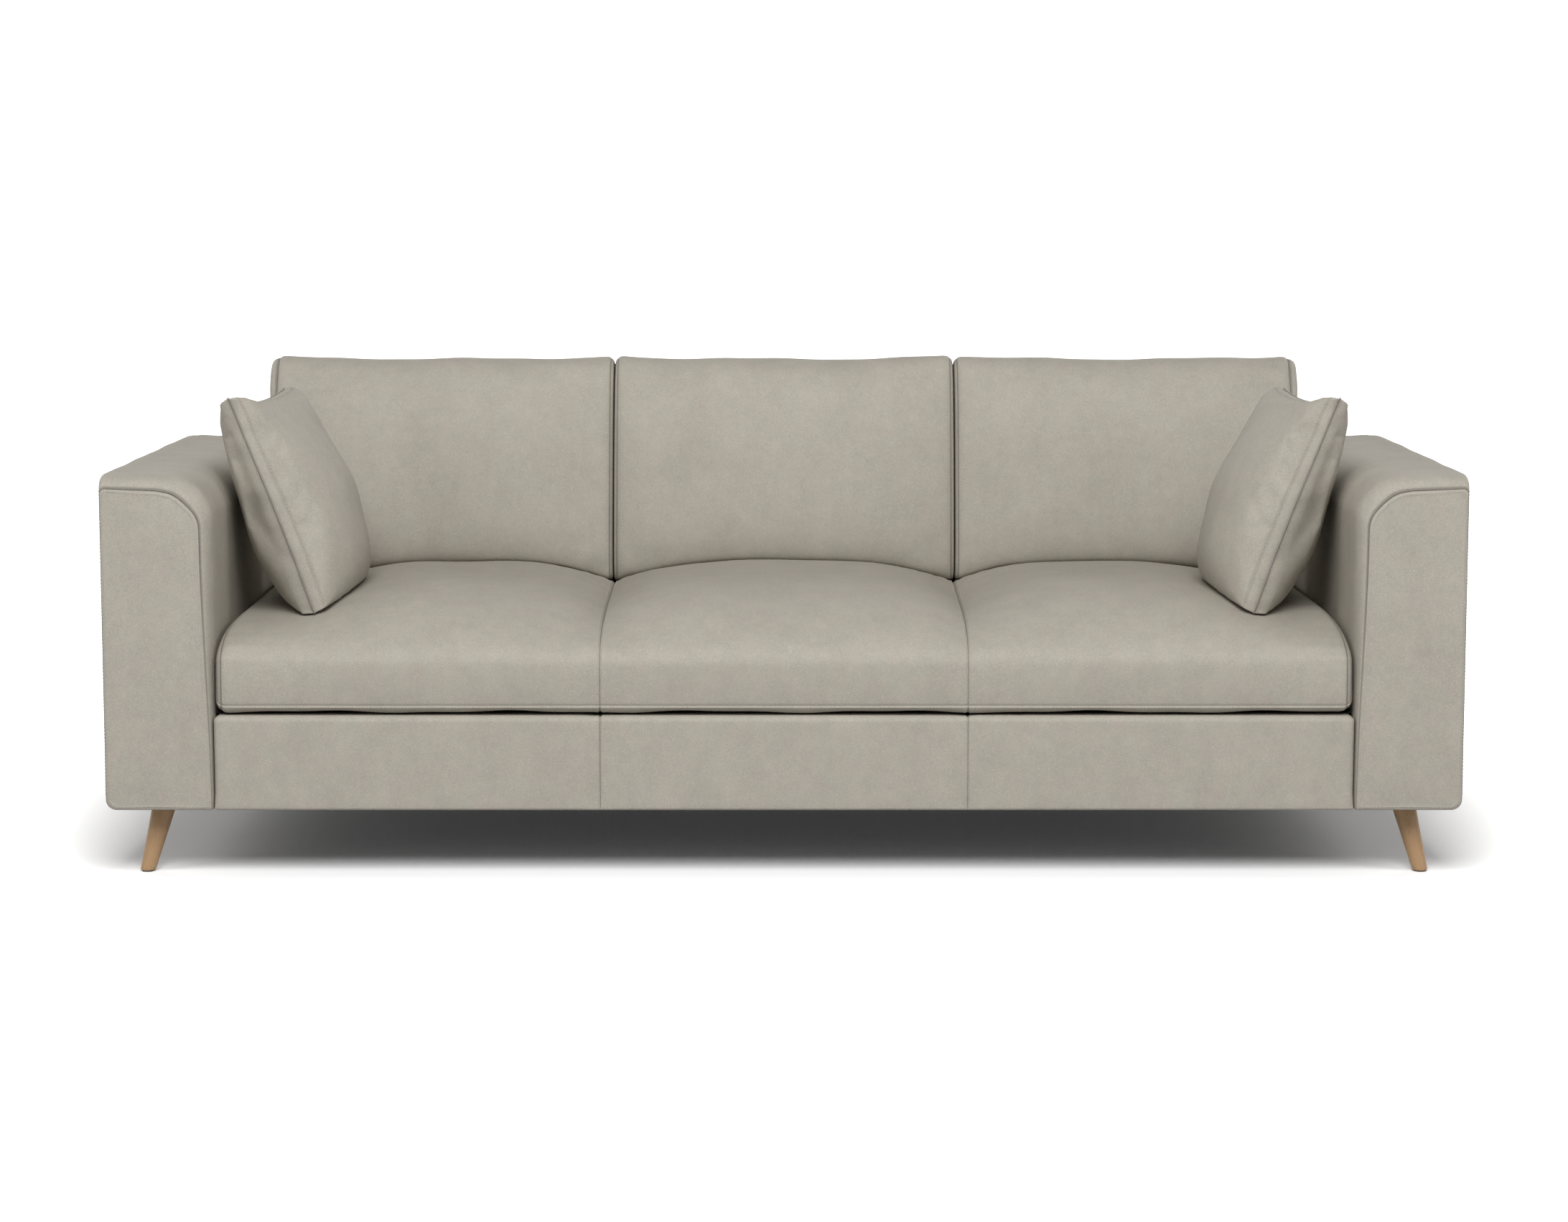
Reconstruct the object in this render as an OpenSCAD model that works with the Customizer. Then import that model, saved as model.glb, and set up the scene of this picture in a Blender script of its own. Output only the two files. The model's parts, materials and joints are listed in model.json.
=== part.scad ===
// Three-seat leather sofa on splayed wooden legs.
// Millimetres, +Z up, front towards -Y. The origin is on the floor, under the middle of the sofa.

/* [Overall] */
// Width over both arms
sofa_w = 2400; // [2000:10:2800]
// Depth from the arm fronts to the outside back
sofa_d = 1080; // [980:10:1160]
// Height of the body's underside above the floor
under_h = 120; // [100:5:150]

/* [Arms] */
// Width of each arm
arm_w = 194; // [170:2:260]
// Height of the outer top edge of the arms
arm_h = 706; // [640:2:740]
// Drop of the arm's top from its outer to its inner side
arm_fall = 8; // [0:1:24]
// Radius of the roll at the arm's inner top edge
arm_roll_r = 60; // [45:5:80]

/* [Seat] */
// Height of the seat deck and of the front border
deck_h = 290; // [260:5:320]
// Number of seats, with one back cushion each
seats = 3; // [2:1:3]
// Thickness of the seat cushion at its edges
seat_edge_t = 158; // [120:5:180]
// Extra height in the middle of each seat
seat_crown = 46; // [20:2:60]
// Width of one zigzag spring
spring_w = 50; // [40:2:60]
// Springs under each seat
springs_per_seat = 4; // [3:1:5]
// Wire diameter of the springs
spring_wire_d = 4; // [3:0.5:5]

/* [Back] */
// Height of the back frame
back_h = 770; // [740:5:800]
// Thickness of the back at its top
back_top_t = 96; // [60:2:120]
// Lean of the back from the vertical, in degrees
back_lean = 12; // [6:1:14]
// Length of a back cushion along its lean
back_cushion_l = 444; // [380:5:480]
// Thickness of a back cushion at its seams
back_cushion_t = 172; // [130:2:190]
// Extra thickness in the middle of a back cushion
back_crown = 40; // [20:2:60]

/* [Scatter cushions] */
// Side of a scatter cushion
scatter_size = 424; // [380:10:460]
// Thickness of a scatter cushion in its middle
scatter_t = 164; // [130:2:190]
// Lean of a scatter cushion towards the arm, in degrees
scatter_lean = 22; // [18:1:26]

/* [Legs] */
// Diameter of a leg at its top
leg_top_d = 43; // [38:1:50]
// Diameter of a leg at its foot
leg_foot_d = 26; // [22:1:32]
// Distance of the leg's top centre from both outer faces
leg_inset = 92; // [85:1:105]
// How far the foot stands outwards of the leg's top, along X and along Y
leg_splay = 29; // [15:1:35]

/* [Layers] */
// Thickness of the leather
leather_t = 2; // [1.5:0.1:2.5]
// Foam on the arm tops and on the inside back
pad_t = 24; // [16:1:30]
// Foam on the arms' inner sides, arm fronts and front border
side_pad_t = 14; // [10:1:18]
// Wadding on the outer sides and on the outside back
wadding_t = 10; // [6:1:14]
// Thickness of the panels and rails
rail_t = 25; // [20:1:30]

/* [Hidden] */
SIDES = ["left", "right"];
SEAT_NAMES = seats == 2 ? ["left", "right"] : ["left", "centre", "right"];
CORNERS = [for (end = ["front", "back"], side = SIDES) str(end, "_", side)];

leather = [0.42, 0.39, 0.34];
foam = [0.93, 0.90, 0.80];
wadding = [0.88, 0.88, 0.86];
timber = [0.80, 0.66, 0.46];
oak = [0.70, 0.50, 0.30];
steel = [0.62, 0.63, 0.65];
black_cloth = [0.10, 0.10, 0.11];

touch = 0.3;          // gap between soft pieces that rest on each other
arc_steps = 8;        // straight pieces in a rounded corner of an outline

// Planes of the body
front_y = -sofa_d / 2;
back_y = sofa_d / 2;
seat_w = sofa_w - 2 * arm_w;
arm_back_y = back_y - leather_t - wadding_t;
border_recess = 4;
rail_front_y = front_y + border_recess + leather_t + side_pad_t;
rail_low_z = under_h + 4;

// Vertical order at the deck: rail, clip, spring, deck cloth
clip_t = 1;
cloth_t = 1.5;
rail_top_z = deck_h - leather_t - spring_wire_d - 2 * clip_t - touch;
spring_z = rail_top_z + clip_t + spring_wire_d / 2;
cloth_z = deck_h - cloth_t;
border_flap = 38;     // leather of the front border that lies on the front rail

// Inside back: the leather's face, and the plane of the uprights behind the foam
back_slope = tan(back_lean);
function back_face_y(z) = back_y - back_top_t - (back_h - z) * back_slope;
back_build = leather_t + pad_t;
back_edge_r = 22;
back_rail_y = back_face_y(deck_h) + back_build - rail_t;
web_t = 2;
snug = 0.05;          // clearance of slanted timber and webbing

// Arm layers
arm_board_o = leather_t + wadding_t;
arm_board_t = leather_t + pad_t;
arm_board_i = leather_t + side_pad_t;
arm_board_thick = 18;
arm_board_front_y = front_y + leather_t + side_pad_t;
arm_foot_r = 20;
arm_edge_r = 12;
bolting_rail_t = 38;
bolting_rail_z = [rail_low_z + 12, rail_low_z + 132];
bolt_r = 4;
bolt_gap = 0.25;
bolt_z = rail_low_z + 72;
bolt_ys = [front_y + 200, back_rail_y - 60];

// Legs
glide_t = 2;
glide_r = 10;
plate_t = 2.5;
plate_w = 70;
leg_top_z = rail_low_z - plate_t;
leg_x = sofa_w / 2 - leg_inset;
leg_y = sofa_d / 2 - leg_inset;
leg_block_h = 40;
hanger_r = 4;
hanger_gap = 0.1;
hanger_in_leg = 40;
hanger_in_block = 28;
screw_r = 2.25;
screw_at = 26;

// ---------------------------------------------------------------- outlines

function arc(centre, r, from, to, n = arc_steps) =
  [for (i = [0:n]) centre + r * [cos(from + (to - from) * i / n), sin(from + (to - from) * i / n)]];

// Height of the arm's top at distance u from its outer face
function arm_top(u) = arm_h - arm_fall * u / arm_w;

// Arm seen from the front, inset by o at the outer side, t at the top, i at the inner side, b at the bottom
function arm_outline(o, t, i, b) =
  let (foot = max(arm_foot_r - o, 1), edge = max(arm_edge_r - max(o, t), 1), roll = arm_roll_r - max(t, i),
       roll_u = arm_w - i - roll)
  concat(
    arc([o + foot, under_h + b + foot], foot, 180, 270),
    [[arm_w - i, under_h + b]],
    arc([roll_u, arm_top(roll_u) - t - roll], roll, 0, 90),
    arc([o + edge, arm_top(o + edge) - t - edge], edge, 90, 180));

// Back seen from the side, inset by f at its leaning face and t at its top, from height z0 up
function back_outline(f, t, z0) =
  let (r = max(back_edge_r - f, 2), top = back_h - t)
  concat(
    [[arm_back_y, z0], [arm_back_y, top]],
    arc([back_face_y(top - r) + f + r / cos(back_lean), top - r], r, 90, 180 - back_lean),
    [[back_face_y(z0) + f, z0]]);

// ---------------------------------------------------------------- placing

// Extrudes an outline given in X and Z from y0 to y1
module run_y(y0, y1) {
  translate([0, y1, 0]) rotate([90, 0, 0]) linear_extrude(y1 - y0) children();
}

// Extrudes an outline given in Y and Z from x0 to x1
module run_x(x0, x1) {
  translate([x0, 0, 0]) rotate([90, 0, 90]) linear_extrude(x1 - x0) children();
}

// A box between two corners
module block(low, high) {
  translate(low) cube(high - low);
}

// Children are drawn with x counted inwards from the outer face of that arm
module at_arm(side) {
  if (side == "left") translate([-sofa_w / 2, 0, 0]) children();
  else translate([sofa_w / 2, 0, 0]) mirror([1, 0, 0]) children();
}

module both_arms() {
  for (side = SIDES) at_arm(side) children();
}

// Children are drawn at the left and at the right of the middle
module both_ways() {
  children();
  mirror([1, 0, 0]) children();
}

// Children are drawn at the four leg tops
module at_legs() {
  for (x = [-leg_x, leg_x], y = [-leg_y, leg_y]) translate([x, y, 0]) children();
}

// ---------------------------------------------------------------- seat box

module front_rail() {
  color(timber) block([-seat_w / 2 + rail_t, rail_front_y, rail_low_z],
                      [seat_w / 2 - rail_t, rail_front_y + rail_t, rail_top_z]);
}

module back_rail() {
  color(timber) block([-seat_w / 2 + rail_t, back_rail_y, rail_low_z],
                      [seat_w / 2 - rail_t, back_rail_y + rail_t, rail_top_z]);
}

module end_rails() {
  color(timber) both_ways() difference() {
    block([seat_w / 2 - rail_t, rail_front_y, rail_low_z], [seat_w / 2, back_rail_y + rail_t, rail_top_z]);
    arm_bolt_holes(seat_w / 2 - rail_t - 1, rail_t + 2);
  }
}

// Two lower rails that stiffen the box under the seams between the seats
module cross_rails() {
  color(timber) for (i = [1:seats - 1])
    translate([-seat_w / 2 + i * seat_w / seats, 0, 0])
      block([-rail_t / 2, rail_front_y + rail_t, rail_low_z], [rail_t / 2, back_rail_y, rail_low_z + 100]);
}

// ---------------------------------------------------------------- arms

module arm_board(y0) {
  run_y(y0, y0 + arm_board_thick) polygon(arm_outline(arm_board_o, arm_board_t, arm_board_i, 4));
}

module arm_front_boards() {
  color(timber) both_arms() arm_board(arm_board_front_y);
}

module arm_back_boards() {
  color(timber) both_arms() arm_board(arm_back_y - arm_board_thick);
}

// Span between the front and the back board of an arm
arm_span = [arm_board_front_y + arm_board_thick, arm_back_y - arm_board_thick];

module arm_top_boards() {
  top = arm_top(arm_w) - arm_board_t;
  color(timber) both_arms()
    block([arm_board_o, arm_span[0], top - 22], [arm_w - arm_roll_r - 8, arm_span[1], top]);
}

module arm_base_rails() {
  color(timber) both_arms()
    block([arm_board_o, arm_span[0], rail_low_z], [arm_board_o + rail_t, arm_span[1], rail_low_z + 90]);
}

// Holes for the bolts that hold an arm to the seat box, along X from x0
module arm_bolt_holes(x0, length) {
  for (y = bolt_ys) translate([x0, y, bolt_z]) rotate([0, 90, 0])
    cylinder(r = bolt_r + bolt_gap, h = length, $fn = 48);
}

module arm_bolting_rails() {
  color(timber) both_arms() difference() {
    block([arm_w - leather_t - bolting_rail_t, arm_span[0], bolting_rail_z[0]],
          [arm_w - leather_t, arm_span[1], bolting_rail_z[1]]);
    arm_bolt_holes(arm_w - leather_t - bolting_rail_t - 1, bolting_rail_t + 2);
  }
}

// Carriage bolts with their nuts: domed head on the bolting rail, nut inside the seat box
module arm_bolts() {
  head_x = seat_w / 2 + leather_t + bolting_rail_t;
  nut_x = seat_w / 2 - rail_t;
  color(steel) both_ways() for (y = bolt_ys) translate([0, y, bolt_z]) rotate([0, 90, 0]) union() {
    translate([0, 0, nut_x - 12]) cylinder(r = bolt_r, h = head_x - nut_x + 12, $fn = 48);
    translate([0, 0, nut_x - 6.5]) cylinder(r = 7.5, h = 6.5, $fn = 6);
    translate([0, 0, head_x]) cylinder(r1 = 9.5, r2 = 6, h = 4.5, $fn = 48);
  }
}

// Hardwood blocks between the base rail and the bolting rail, which carry the legs
module leg_blocks() {
  x = [sofa_w / 2 - arm_w + leather_t + bolting_rail_t, sofa_w / 2 - arm_board_o - rail_t];
  color(timber) difference() {
    both_ways() for (front = [true, false])
      block([x[0], front ? arm_span[0] : arm_span[1] - 96, rail_low_z],
            [x[1], front ? arm_span[0] + 96 : arm_span[1], rail_low_z + leg_block_h]);
    at_legs() translate([0, 0, rail_low_z - 1]) {
      cylinder(r = hanger_r + hanger_gap, h = hanger_in_block + 2, $fn = 48);
      screw_places() cylinder(r = screw_r + 0.1, h = 27, $fn = 32);
    }
  }
}

// Foam on an arm's top and on its inner side down to the deck
module arm_pad(side) {
  color(foam) at_arm(side) run_y(arm_board_front_y, arm_back_y) intersection() {
    difference() {
      polygon(arm_outline(leather_t, leather_t, leather_t, leather_t));
      polygon(arm_outline(arm_board_o - 1, arm_board_t, arm_board_i, -1));
    }
    translate([arm_board_o, bolting_rail_z[1]]) square([arm_w, arm_h]);
  }
}

module arm_front_pad(side) {
  color(foam) at_arm(side) run_y(front_y + leather_t, arm_board_front_y)
    polygon(arm_outline(leather_t, leather_t, leather_t, leather_t));
}

module arm_outer_pad(side) {
  color(wadding) at_arm(side) run_y(arm_board_front_y, arm_back_y) intersection() {
    polygon(arm_outline(leather_t, leather_t, leather_t, leather_t));
    translate([0, under_h]) square([arm_board_o, arm_h - under_h]);
  }
}

// Sewn leather of one arm: front, top, inner and outer side, open at the back and underneath
module arm_cover(side) {
  color(leather) at_arm(side) difference() {
    run_y(front_y, arm_back_y) polygon(arm_outline(0, 0, 0, 0));
    run_y(front_y + leather_t, arm_back_y + 1) polygon(arm_outline(leather_t, leather_t, leather_t, -1));
    block([arm_w / 2, rail_front_y - 1, under_h - 1], [arm_w + 1, arm_back_y + 1, rail_low_z]);
    arm_bolt_holes(arm_w - leather_t - 1, leather_t + 2);
  }
}

// ---------------------------------------------------------------- deck

// One spring from the front rail to the back rail: cross bars joined by half turns
spring_y = [rail_front_y + rail_t / 2, back_rail_y + rail_t / 2];
spring_bars = 2 * round((spring_y[1] - spring_y[0]) / 32 / 2) + 1;
// Rounded, so that the bars and the half turns meet exactly
spring_pitch = floor((spring_y[1] - spring_y[0]) / (spring_bars - 1) * 100) / 100;
spring_bar = spring_w - spring_pitch - spring_wire_d;

module wire_section() {
  circle(r = spring_wire_d / 2, $fn = 16);
}

module zigzag_spring() {
  translate([0, spring_y[0], spring_z]) union() {
    for (i = [0:spring_bars - 1])
      translate([-spring_bar / 2, i * spring_pitch, 0]) rotate([90, 0, 90])
        linear_extrude(spring_bar) wire_section();
    for (i = [0:spring_bars - 2])
      translate([(i % 2 == 0 ? 1 : -1) * spring_bar / 2, (i + 0.5) * spring_pitch, 0])
        rotate([0, 0, i % 2 == 0 ? -90 : 90]) rotate_extrude(angle = 180, $fn = 24)
          translate([spring_pitch / 2, 0]) wire_section();
  }
}

// Middles of the springs along X
spring_gap = seat_w / seats / springs_per_seat;
spring_xs = [for (i = [0:seats * springs_per_seat - 1]) -seat_w / 2 + (i + 0.5) * spring_gap];

// The springs under one seat
module seat_springs(i) {
  color(steel) for (j = [0:springs_per_seat - 1])
    translate([spring_xs[i * springs_per_seat + j], 0, 0]) zigzag_spring();
}

// A strip of steel folded round the end bar of a spring, open towards the deck's middle
module spring_clip() {
  r = spring_wire_d / 2 + 0.1;
  outside = r + clip_t - 0.1;
  color(steel) run_x(-spring_bar / 2 + 2, spring_bar / 2 - 2) difference() {
    union() {
      circle(r = outside, $fn = 32);
      translate([0, -outside]) square([10, clip_t - 0.1]);
      translate([0, outside - clip_t + 0.1]) square([5, clip_t - 0.1]);
    }
    circle(r = r, $fn = 32);
    translate([0, -r]) square([11, 2 * r]);
  }
}

module spring_clips() {
  for (x = spring_xs) {
    translate([x, spring_y[0], spring_z]) spring_clip();
    translate([x, spring_y[1], spring_z]) mirror([0, 1, 0]) spring_clip();
  }
}

// Straight wires under the springs, which hold them apart
module spring_stay_wires() {
  r = 1.5;
  z = spring_z - spring_wire_d / 2 - r - touch;
  color(steel) for (share = [1 / 3, 2 / 3])
    translate([-seat_w / 2 + rail_t, spring_y[0] + share * (spring_y[1] - spring_y[0]), z])
      rotate([0, 90, 0]) cylinder(r = r, h = seat_w - 2 * rail_t, $fn = 24);
}

module deck_cloth() {
  color(black_cloth) block([-seat_w / 2, front_y + border_recess + border_flap, cloth_z],
                           [seat_w / 2, back_rail_y + rail_t, cloth_z + cloth_t]);
}

// Thin cloth that closes the underside, cut out round the leg plates
module dust_cover() {
  edge = 14;
  color(black_cloth) difference() {
    block([-sofa_w / 2 + edge, rail_front_y, rail_low_z - cloth_t],
          [sofa_w / 2 - edge, arm_back_y - 4, rail_low_z]);
    at_legs() block([-plate_w / 2 - 1, -plate_w / 2 - 1, rail_low_z - cloth_t - 1],
                    [plate_w / 2 + 1, plate_w / 2 + 1, rail_low_z + 1]);
  }
}

// ---------------------------------------------------------------- front border

// Border seen from the side, inset by t and reaching back by depth
border_y = front_y + border_recess;
border_edge_r = 9;
function border_outline(t, low, depth) = concat(
  [[border_y + t, low]],
  arc([border_y + border_edge_r, deck_h - border_edge_r], border_edge_r - t, 180, 90),
  [[border_y + depth, deck_h - t], [border_y + depth, low]]);

module front_border_pad() {
  color(foam) run_x(-seat_w / 2, seat_w / 2)
    polygon(border_outline(leather_t, under_h + leather_t, leather_t + side_pad_t));
}

// Leather over the border's face, with a flap that lies on the deck
module front_border_cover() {
  color(leather) run_x(-seat_w / 2, seat_w / 2) difference() {
    polygon(border_outline(0, under_h, border_flap));
    polygon(border_outline(leather_t, under_h + leather_t, border_flap + 1));
    translate([border_y + leather_t + side_pad_t, under_h - 1]) square([border_flap, leather_t + 2]);
  }
}

// ---------------------------------------------------------------- back

// Plane of the uprights' leaning edge
function upright_y(z) = back_face_y(z) + back_build;
upright_t = 22;
upright_top = back_h - back_build - upright_t;
back_z0 = deck_h + 2;

module back_uprights() {
  step = (seat_w - 2 * upright_t) / seats;
  color(timber) for (i = [0:seats])
    translate([-seat_w / 2 + upright_t / 2 + i * step, 0, 0]) run_x(0, upright_t)
      polygon([[back_rail_y + rail_t, rail_low_z], [arm_back_y, rail_low_z], [arm_back_y, upright_top],
               [upright_y(upright_top) + snug, upright_top], [upright_y(deck_h) + snug, deck_h],
               [back_rail_y + rail_t, deck_h]]);
}

module back_top_rail() {
  y = upright_y(upright_top + upright_t) + web_t;
  color(timber) block([-seat_w / 2 + leather_t, y, upright_top],
                      [seat_w / 2 - leather_t, arm_back_y - snug, upright_top + upright_t]);
}

// Rails between the uprights, at the bottom of the inside back
module back_lower_rails() {
  step = (seat_w - 2 * upright_t) / seats;
  z = [deck_h + 8, deck_h + 58];
  color(timber) for (i = [0:seats - 1])
    run_x(-seat_w / 2 + 1.5 * upright_t + i * step + snug, -seat_w / 2 + upright_t / 2 + (i + 1) * step - snug)
      polygon([for (p = [[0, 0], [1, 0], [1, 1], [0, 1]]) [upright_y(z[p[1]]) + web_t + p[0] * rail_t, z[p[1]]]]);
}

// Elastic straps from the lower rails to the top rail, three behind each cushion
module back_webbing() {
  step = (seat_w - 2 * upright_t) / seats;
  z = [deck_h + 12, upright_top + upright_t - 2];
  straps = 3;
  strap_w = 60;
  color(black_cloth) for (i = [0:seats - 1], j = [0:straps - 1])
    translate([-seat_w / 2 + upright_t + (i + (j + 0.5) / straps) * step - strap_w / 2, 0, 0])
      run_x(0, strap_w)
        polygon([for (p = [[0, 0], [1, 0], [1, 1], [0, 1]])
          [upright_y(z[p[1]]) + snug + p[0] * (web_t - 2 * snug), z[p[1]]]]);
}

// Foam over the inside back and the top
module back_pad() {
  color(foam) run_x(-seat_w / 2 + leather_t, seat_w / 2 - leather_t) difference() {
    polygon(back_outline(leather_t, leather_t, back_z0 - 1));
    polygon(back_outline(back_build, back_build, back_z0 - 2));
    translate([0, back_z0 - 2]) square([sofa_d, 2]);
  }
}

// Leather over the back pad, closed at its two ends
module back_cover() {
  color(leather) difference() {
    run_x(-seat_w / 2, seat_w / 2) polygon(back_outline(0, 0, back_z0));
    run_x(-seat_w / 2 + leather_t, seat_w / 2 - leather_t)
      polygon(back_outline(leather_t, leather_t, back_z0 - 1));
    block([-seat_w / 2 + leather_t, arm_back_y - 1, back_z0 - 1],
          [seat_w / 2 - leather_t, arm_back_y + 1, back_h - leather_t]);
  }
}

// Outside back seen from behind: both arms with the taller back between them
module outside_outline(inset) {
  union() {
    for (side = SIDES) mirror([side == "left" ? 0 : 1, 0]) translate([-sofa_w / 2, 0])
      polygon(arm_outline(inset, inset, -1, inset));
    polygon(concat(
      [[-seat_w / 2, under_h + inset], [seat_w / 2, under_h + inset]],
      arc([seat_w / 2 - back_edge_r - inset, back_h - back_edge_r - inset], back_edge_r, 0, 90),
      arc([-seat_w / 2 + back_edge_r + inset, back_h - back_edge_r - inset], back_edge_r, 90, 180)));
  }
}

module outside_back_pad() {
  color(wadding) run_y(arm_back_y, back_y - leather_t) outside_outline(leather_t);
}

module outside_back_cover() {
  color(leather) difference() {
    run_y(arm_back_y, back_y) outside_outline(0);
    run_y(arm_back_y - 1, back_y - leather_t) outside_outline(leather_t);
  }
}

// ---------------------------------------------------------------- legs

// A tapered leg that leans outwards, cut level at its top and at its foot
module leg(x_way, y_way) {
  top = [x_way * leg_x, y_way * leg_y, leg_top_z];
  foot = top + [x_way * leg_splay, y_way * leg_splay, -leg_top_z];
  run = top - foot;
  length = norm(run);
  spare = 12;
  taper = (leg_top_d - leg_foot_d) / 2 / length;
  color(oak) difference() {
    intersection() {
      translate(foot) rotate([0, acos(run[2] / length), atan2(run[1], run[0])]) translate([0, 0, -spare])
        cylinder(r1 = leg_foot_d / 2 - spare * taper, r2 = leg_top_d / 2 + spare * taper,
                 h = length + 2 * spare, $fn = 96);
      translate([foot[0], foot[1], glide_t]) block([-80, -80, 0], [80, 80, leg_top_z - glide_t]);
    }
    translate([top[0], top[1], leg_top_z - hanger_in_leg])
      cylinder(r = hanger_r + hanger_gap, h = hanger_in_leg + 1, $fn = 48);
  }
}

// Children are drawn at the four screw places of a leg plate
module screw_places() {
  for (x = [-screw_at, screw_at], y = [-screw_at, screw_at]) translate([x, y, 0]) children();
}

module leg_plates() {
  color(steel) at_legs() difference() {
    translate([-plate_w / 2, -plate_w / 2, leg_top_z]) cube([plate_w, plate_w, plate_t]);
    translate([0, 0, leg_top_z - 1]) cylinder(r = hanger_r + hanger_gap, h = plate_t + 2, $fn = 48);
    screw_places() translate([0, 0, leg_top_z - 1]) cylinder(r = screw_r + 0.1, h = plate_t + 2, $fn = 32);
  }
}

module leg_plate_screws() {
  color(steel) at_legs() screw_places() translate([0, 0, leg_top_z]) union() {
    translate([0, 0, -1.5]) cylinder(r = 4, h = 1.5, $fn = 32);
    cylinder(r = screw_r, h = 26, $fn = 32);
  }
}

module hanger_bolts() {
  color(steel) at_legs() translate([0, 0, leg_top_z - hanger_in_leg + 1])
    cylinder(r = hanger_r, h = hanger_in_leg + plate_t + hanger_in_block - 2, $fn = 48);
}

module foot_glides() {
  color(black_cloth) for (x = [-1, 1], y = [-1, 1])
    translate([x * (leg_x + leg_splay), y * (leg_y + leg_splay), 0]) cylinder(r = glide_r, h = glide_t, $fn = 48);
}

// ---------------------------------------------------------------- cushions

function power(value, exponent) = sign(value) * pow(abs(value), exponent);

// Swell of a cushion along its width: 0 at the seams of each section, 1 in its middle.
// Where a section ends at an arm, ease is above 0 and the swell grows more slowly.
function swell(x, half_w, sections, ease) =
  let (place = (x + half_w) / (2 * half_w) * sections, t = 2 * (place - floor(place)) - 1,
       outer = (place < 1 && t < 0) || (place > sections - 1 && t > 0), plump = 1 - pow(abs(t), 3.4))
  place <= 0 || place >= sections ? 0
    : outer ? (1 - ease) * plump + ease * (0.5 + 0.5 * cos(180 * t)) : plump;

// Cross section of a boxed cushion in its depth and height, with one corner squareness for each quarter.
// half is [half depth, half height]. swells are [front, top, underside] at this place along the width,
// and slant is the slope of the underside.
section_points = 20;
function cushion_section(half, square, swells, slant) =
  [for (i = [0:section_points - 1])
    let (a = 360 * (i + 0.5) / section_points, c = cos(a), s = sin(a),
         e = 2 / square[floor(a / 90)], y = half[0] * power(c, e))
    [y - swells[0] * pow(max(0, -c), 1.5),
     half[1] * power(s, e) + swells[1] * pow(max(0, s), 3) + (swells[2] + slant * y) * pow(max(0, -s), 0.6)]];

// Places along the width where the cross section is drawn
function cushion_stations(half_w, sections, round_r) = concat(
  [-half_w, -half_w + 0.3 * round_r, -half_w + round_r],
  [for (k = [0:sections - 1], t = [0.1, 0.28, 0.5, 0.72, 0.9, 1])
    if (t < 1 || k < sections - 1) half_w * (-1 + 2 * (k + t) / sections)],
  [half_w - round_r, half_w - 0.3 * round_r, half_w]);

// A boxed cushion, centred, with flat gussets at its two ends. inset makes the same form smaller all over.
cushion_round = 10;   // rounding of the edges of the end gussets
function cushion_ring(x, size, square, swells, sections, ease, slant, inset) =
  let (half_w = size[0] / 2, r = cushion_round, edge = max(0, r - (half_w - abs(x))),
       pinch = r - sqrt(r * r - edge * edge), k = swell(x, half_w, sections, ease))
  cushion_section([size[1] / 2 - pinch - inset, size[2] / 2 - pinch - inset], square, swells * k, slant);

module boxed_cushion(size, square, swells, sections, ease, slant, inset) {
  half_w = size[0] / 2;
  stations = cushion_stations(half_w, sections, cushion_round);
  n = len(stations);
  m = section_points;
  points = [for (x = stations)
    each [for (p = cushion_ring(x, size, square, swells, sections, ease, slant, inset))
      [x * (half_w - inset) / half_w, p[0], p[1]]]];
  faces = concat(
    [[for (j = [0:m - 1]) j]],
    [for (i = [0:n - 2], j = [0:m - 1], half = [0, 1])
      let (a = i * m + j, b = i * m + (j + 1) % m, c = a + m, d = b + m)
      i < (n - 1) / 2 ? (half == 0 ? [a, c, b] : [b, c, d]) : (half == 0 ? [a, d, b] : [a, c, d])],
    [[for (j = [m - 1:-1:0]) (n - 1) * m + j]]);
  polyhedron(points = points, faces = faces);
}

// The leather cover of a boxed cushion with the slot for its zip, and the filling inside it
cover_gap = 0.4;
core_inset = leather_t + cover_gap;

// Seat cushion: one bench with a sewn seam between the seats
seat_cushion_w = seat_w - 2 * touch;
seat_cushion_y = [front_y + 3, back_face_y(deck_h) - 1];
seat_cushion_z = deck_h + touch;
seat_zip_w = 900;
seat_size = [seat_cushion_w, seat_cushion_y[1] - seat_cushion_y[0], seat_edge_t];
seat_square = [3.4, 3.4, 12, 12];
seat_swells = [0, seat_crown, 0];
seat_ease = 0.8;
seat_middle = [0, (seat_cushion_y[0] + seat_cushion_y[1]) / 2, seat_cushion_z + seat_edge_t / 2];

module seat_cushion_solid(inset) {
  translate(seat_middle) boxed_cushion(seat_size, seat_square, seat_swells, seats, seat_ease, 0, inset);
}

// Height of the seat cushion's top at a place: straight between its stations, as the solid is
function seat_ring_top(x, y) =
  let (ring = cushion_ring(x, seat_size, seat_square, seat_swells, seats, seat_ease, 0, 0))
  lookup(y - seat_middle[1], [for (i = [section_points / 2 - 1:-1:0]) ring[i]]) + seat_middle[2];

function seat_top(x, y) =
  let (all = cushion_stations(seat_cushion_w / 2, seats, cushion_round),
       k = max([for (i = [0:len(all) - 2]) all[i] <= x ? i : 0]), share = (x - all[k]) / (all[k + 1] - all[k]))
  (1 - share) * seat_ring_top(all[k], y) + share * seat_ring_top(all[k + 1], y);

module seat_cushion_core() {
  color(foam) seat_cushion_solid(core_inset);
}

module seat_cushion_cover() {
  color(leather) difference() {
    seat_cushion_solid(0);
    seat_cushion_solid(leather_t);
    zip_slot(seat_zip_w, seat_cushion_y[1], seat_cushion_z + 30);
  }
}

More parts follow.
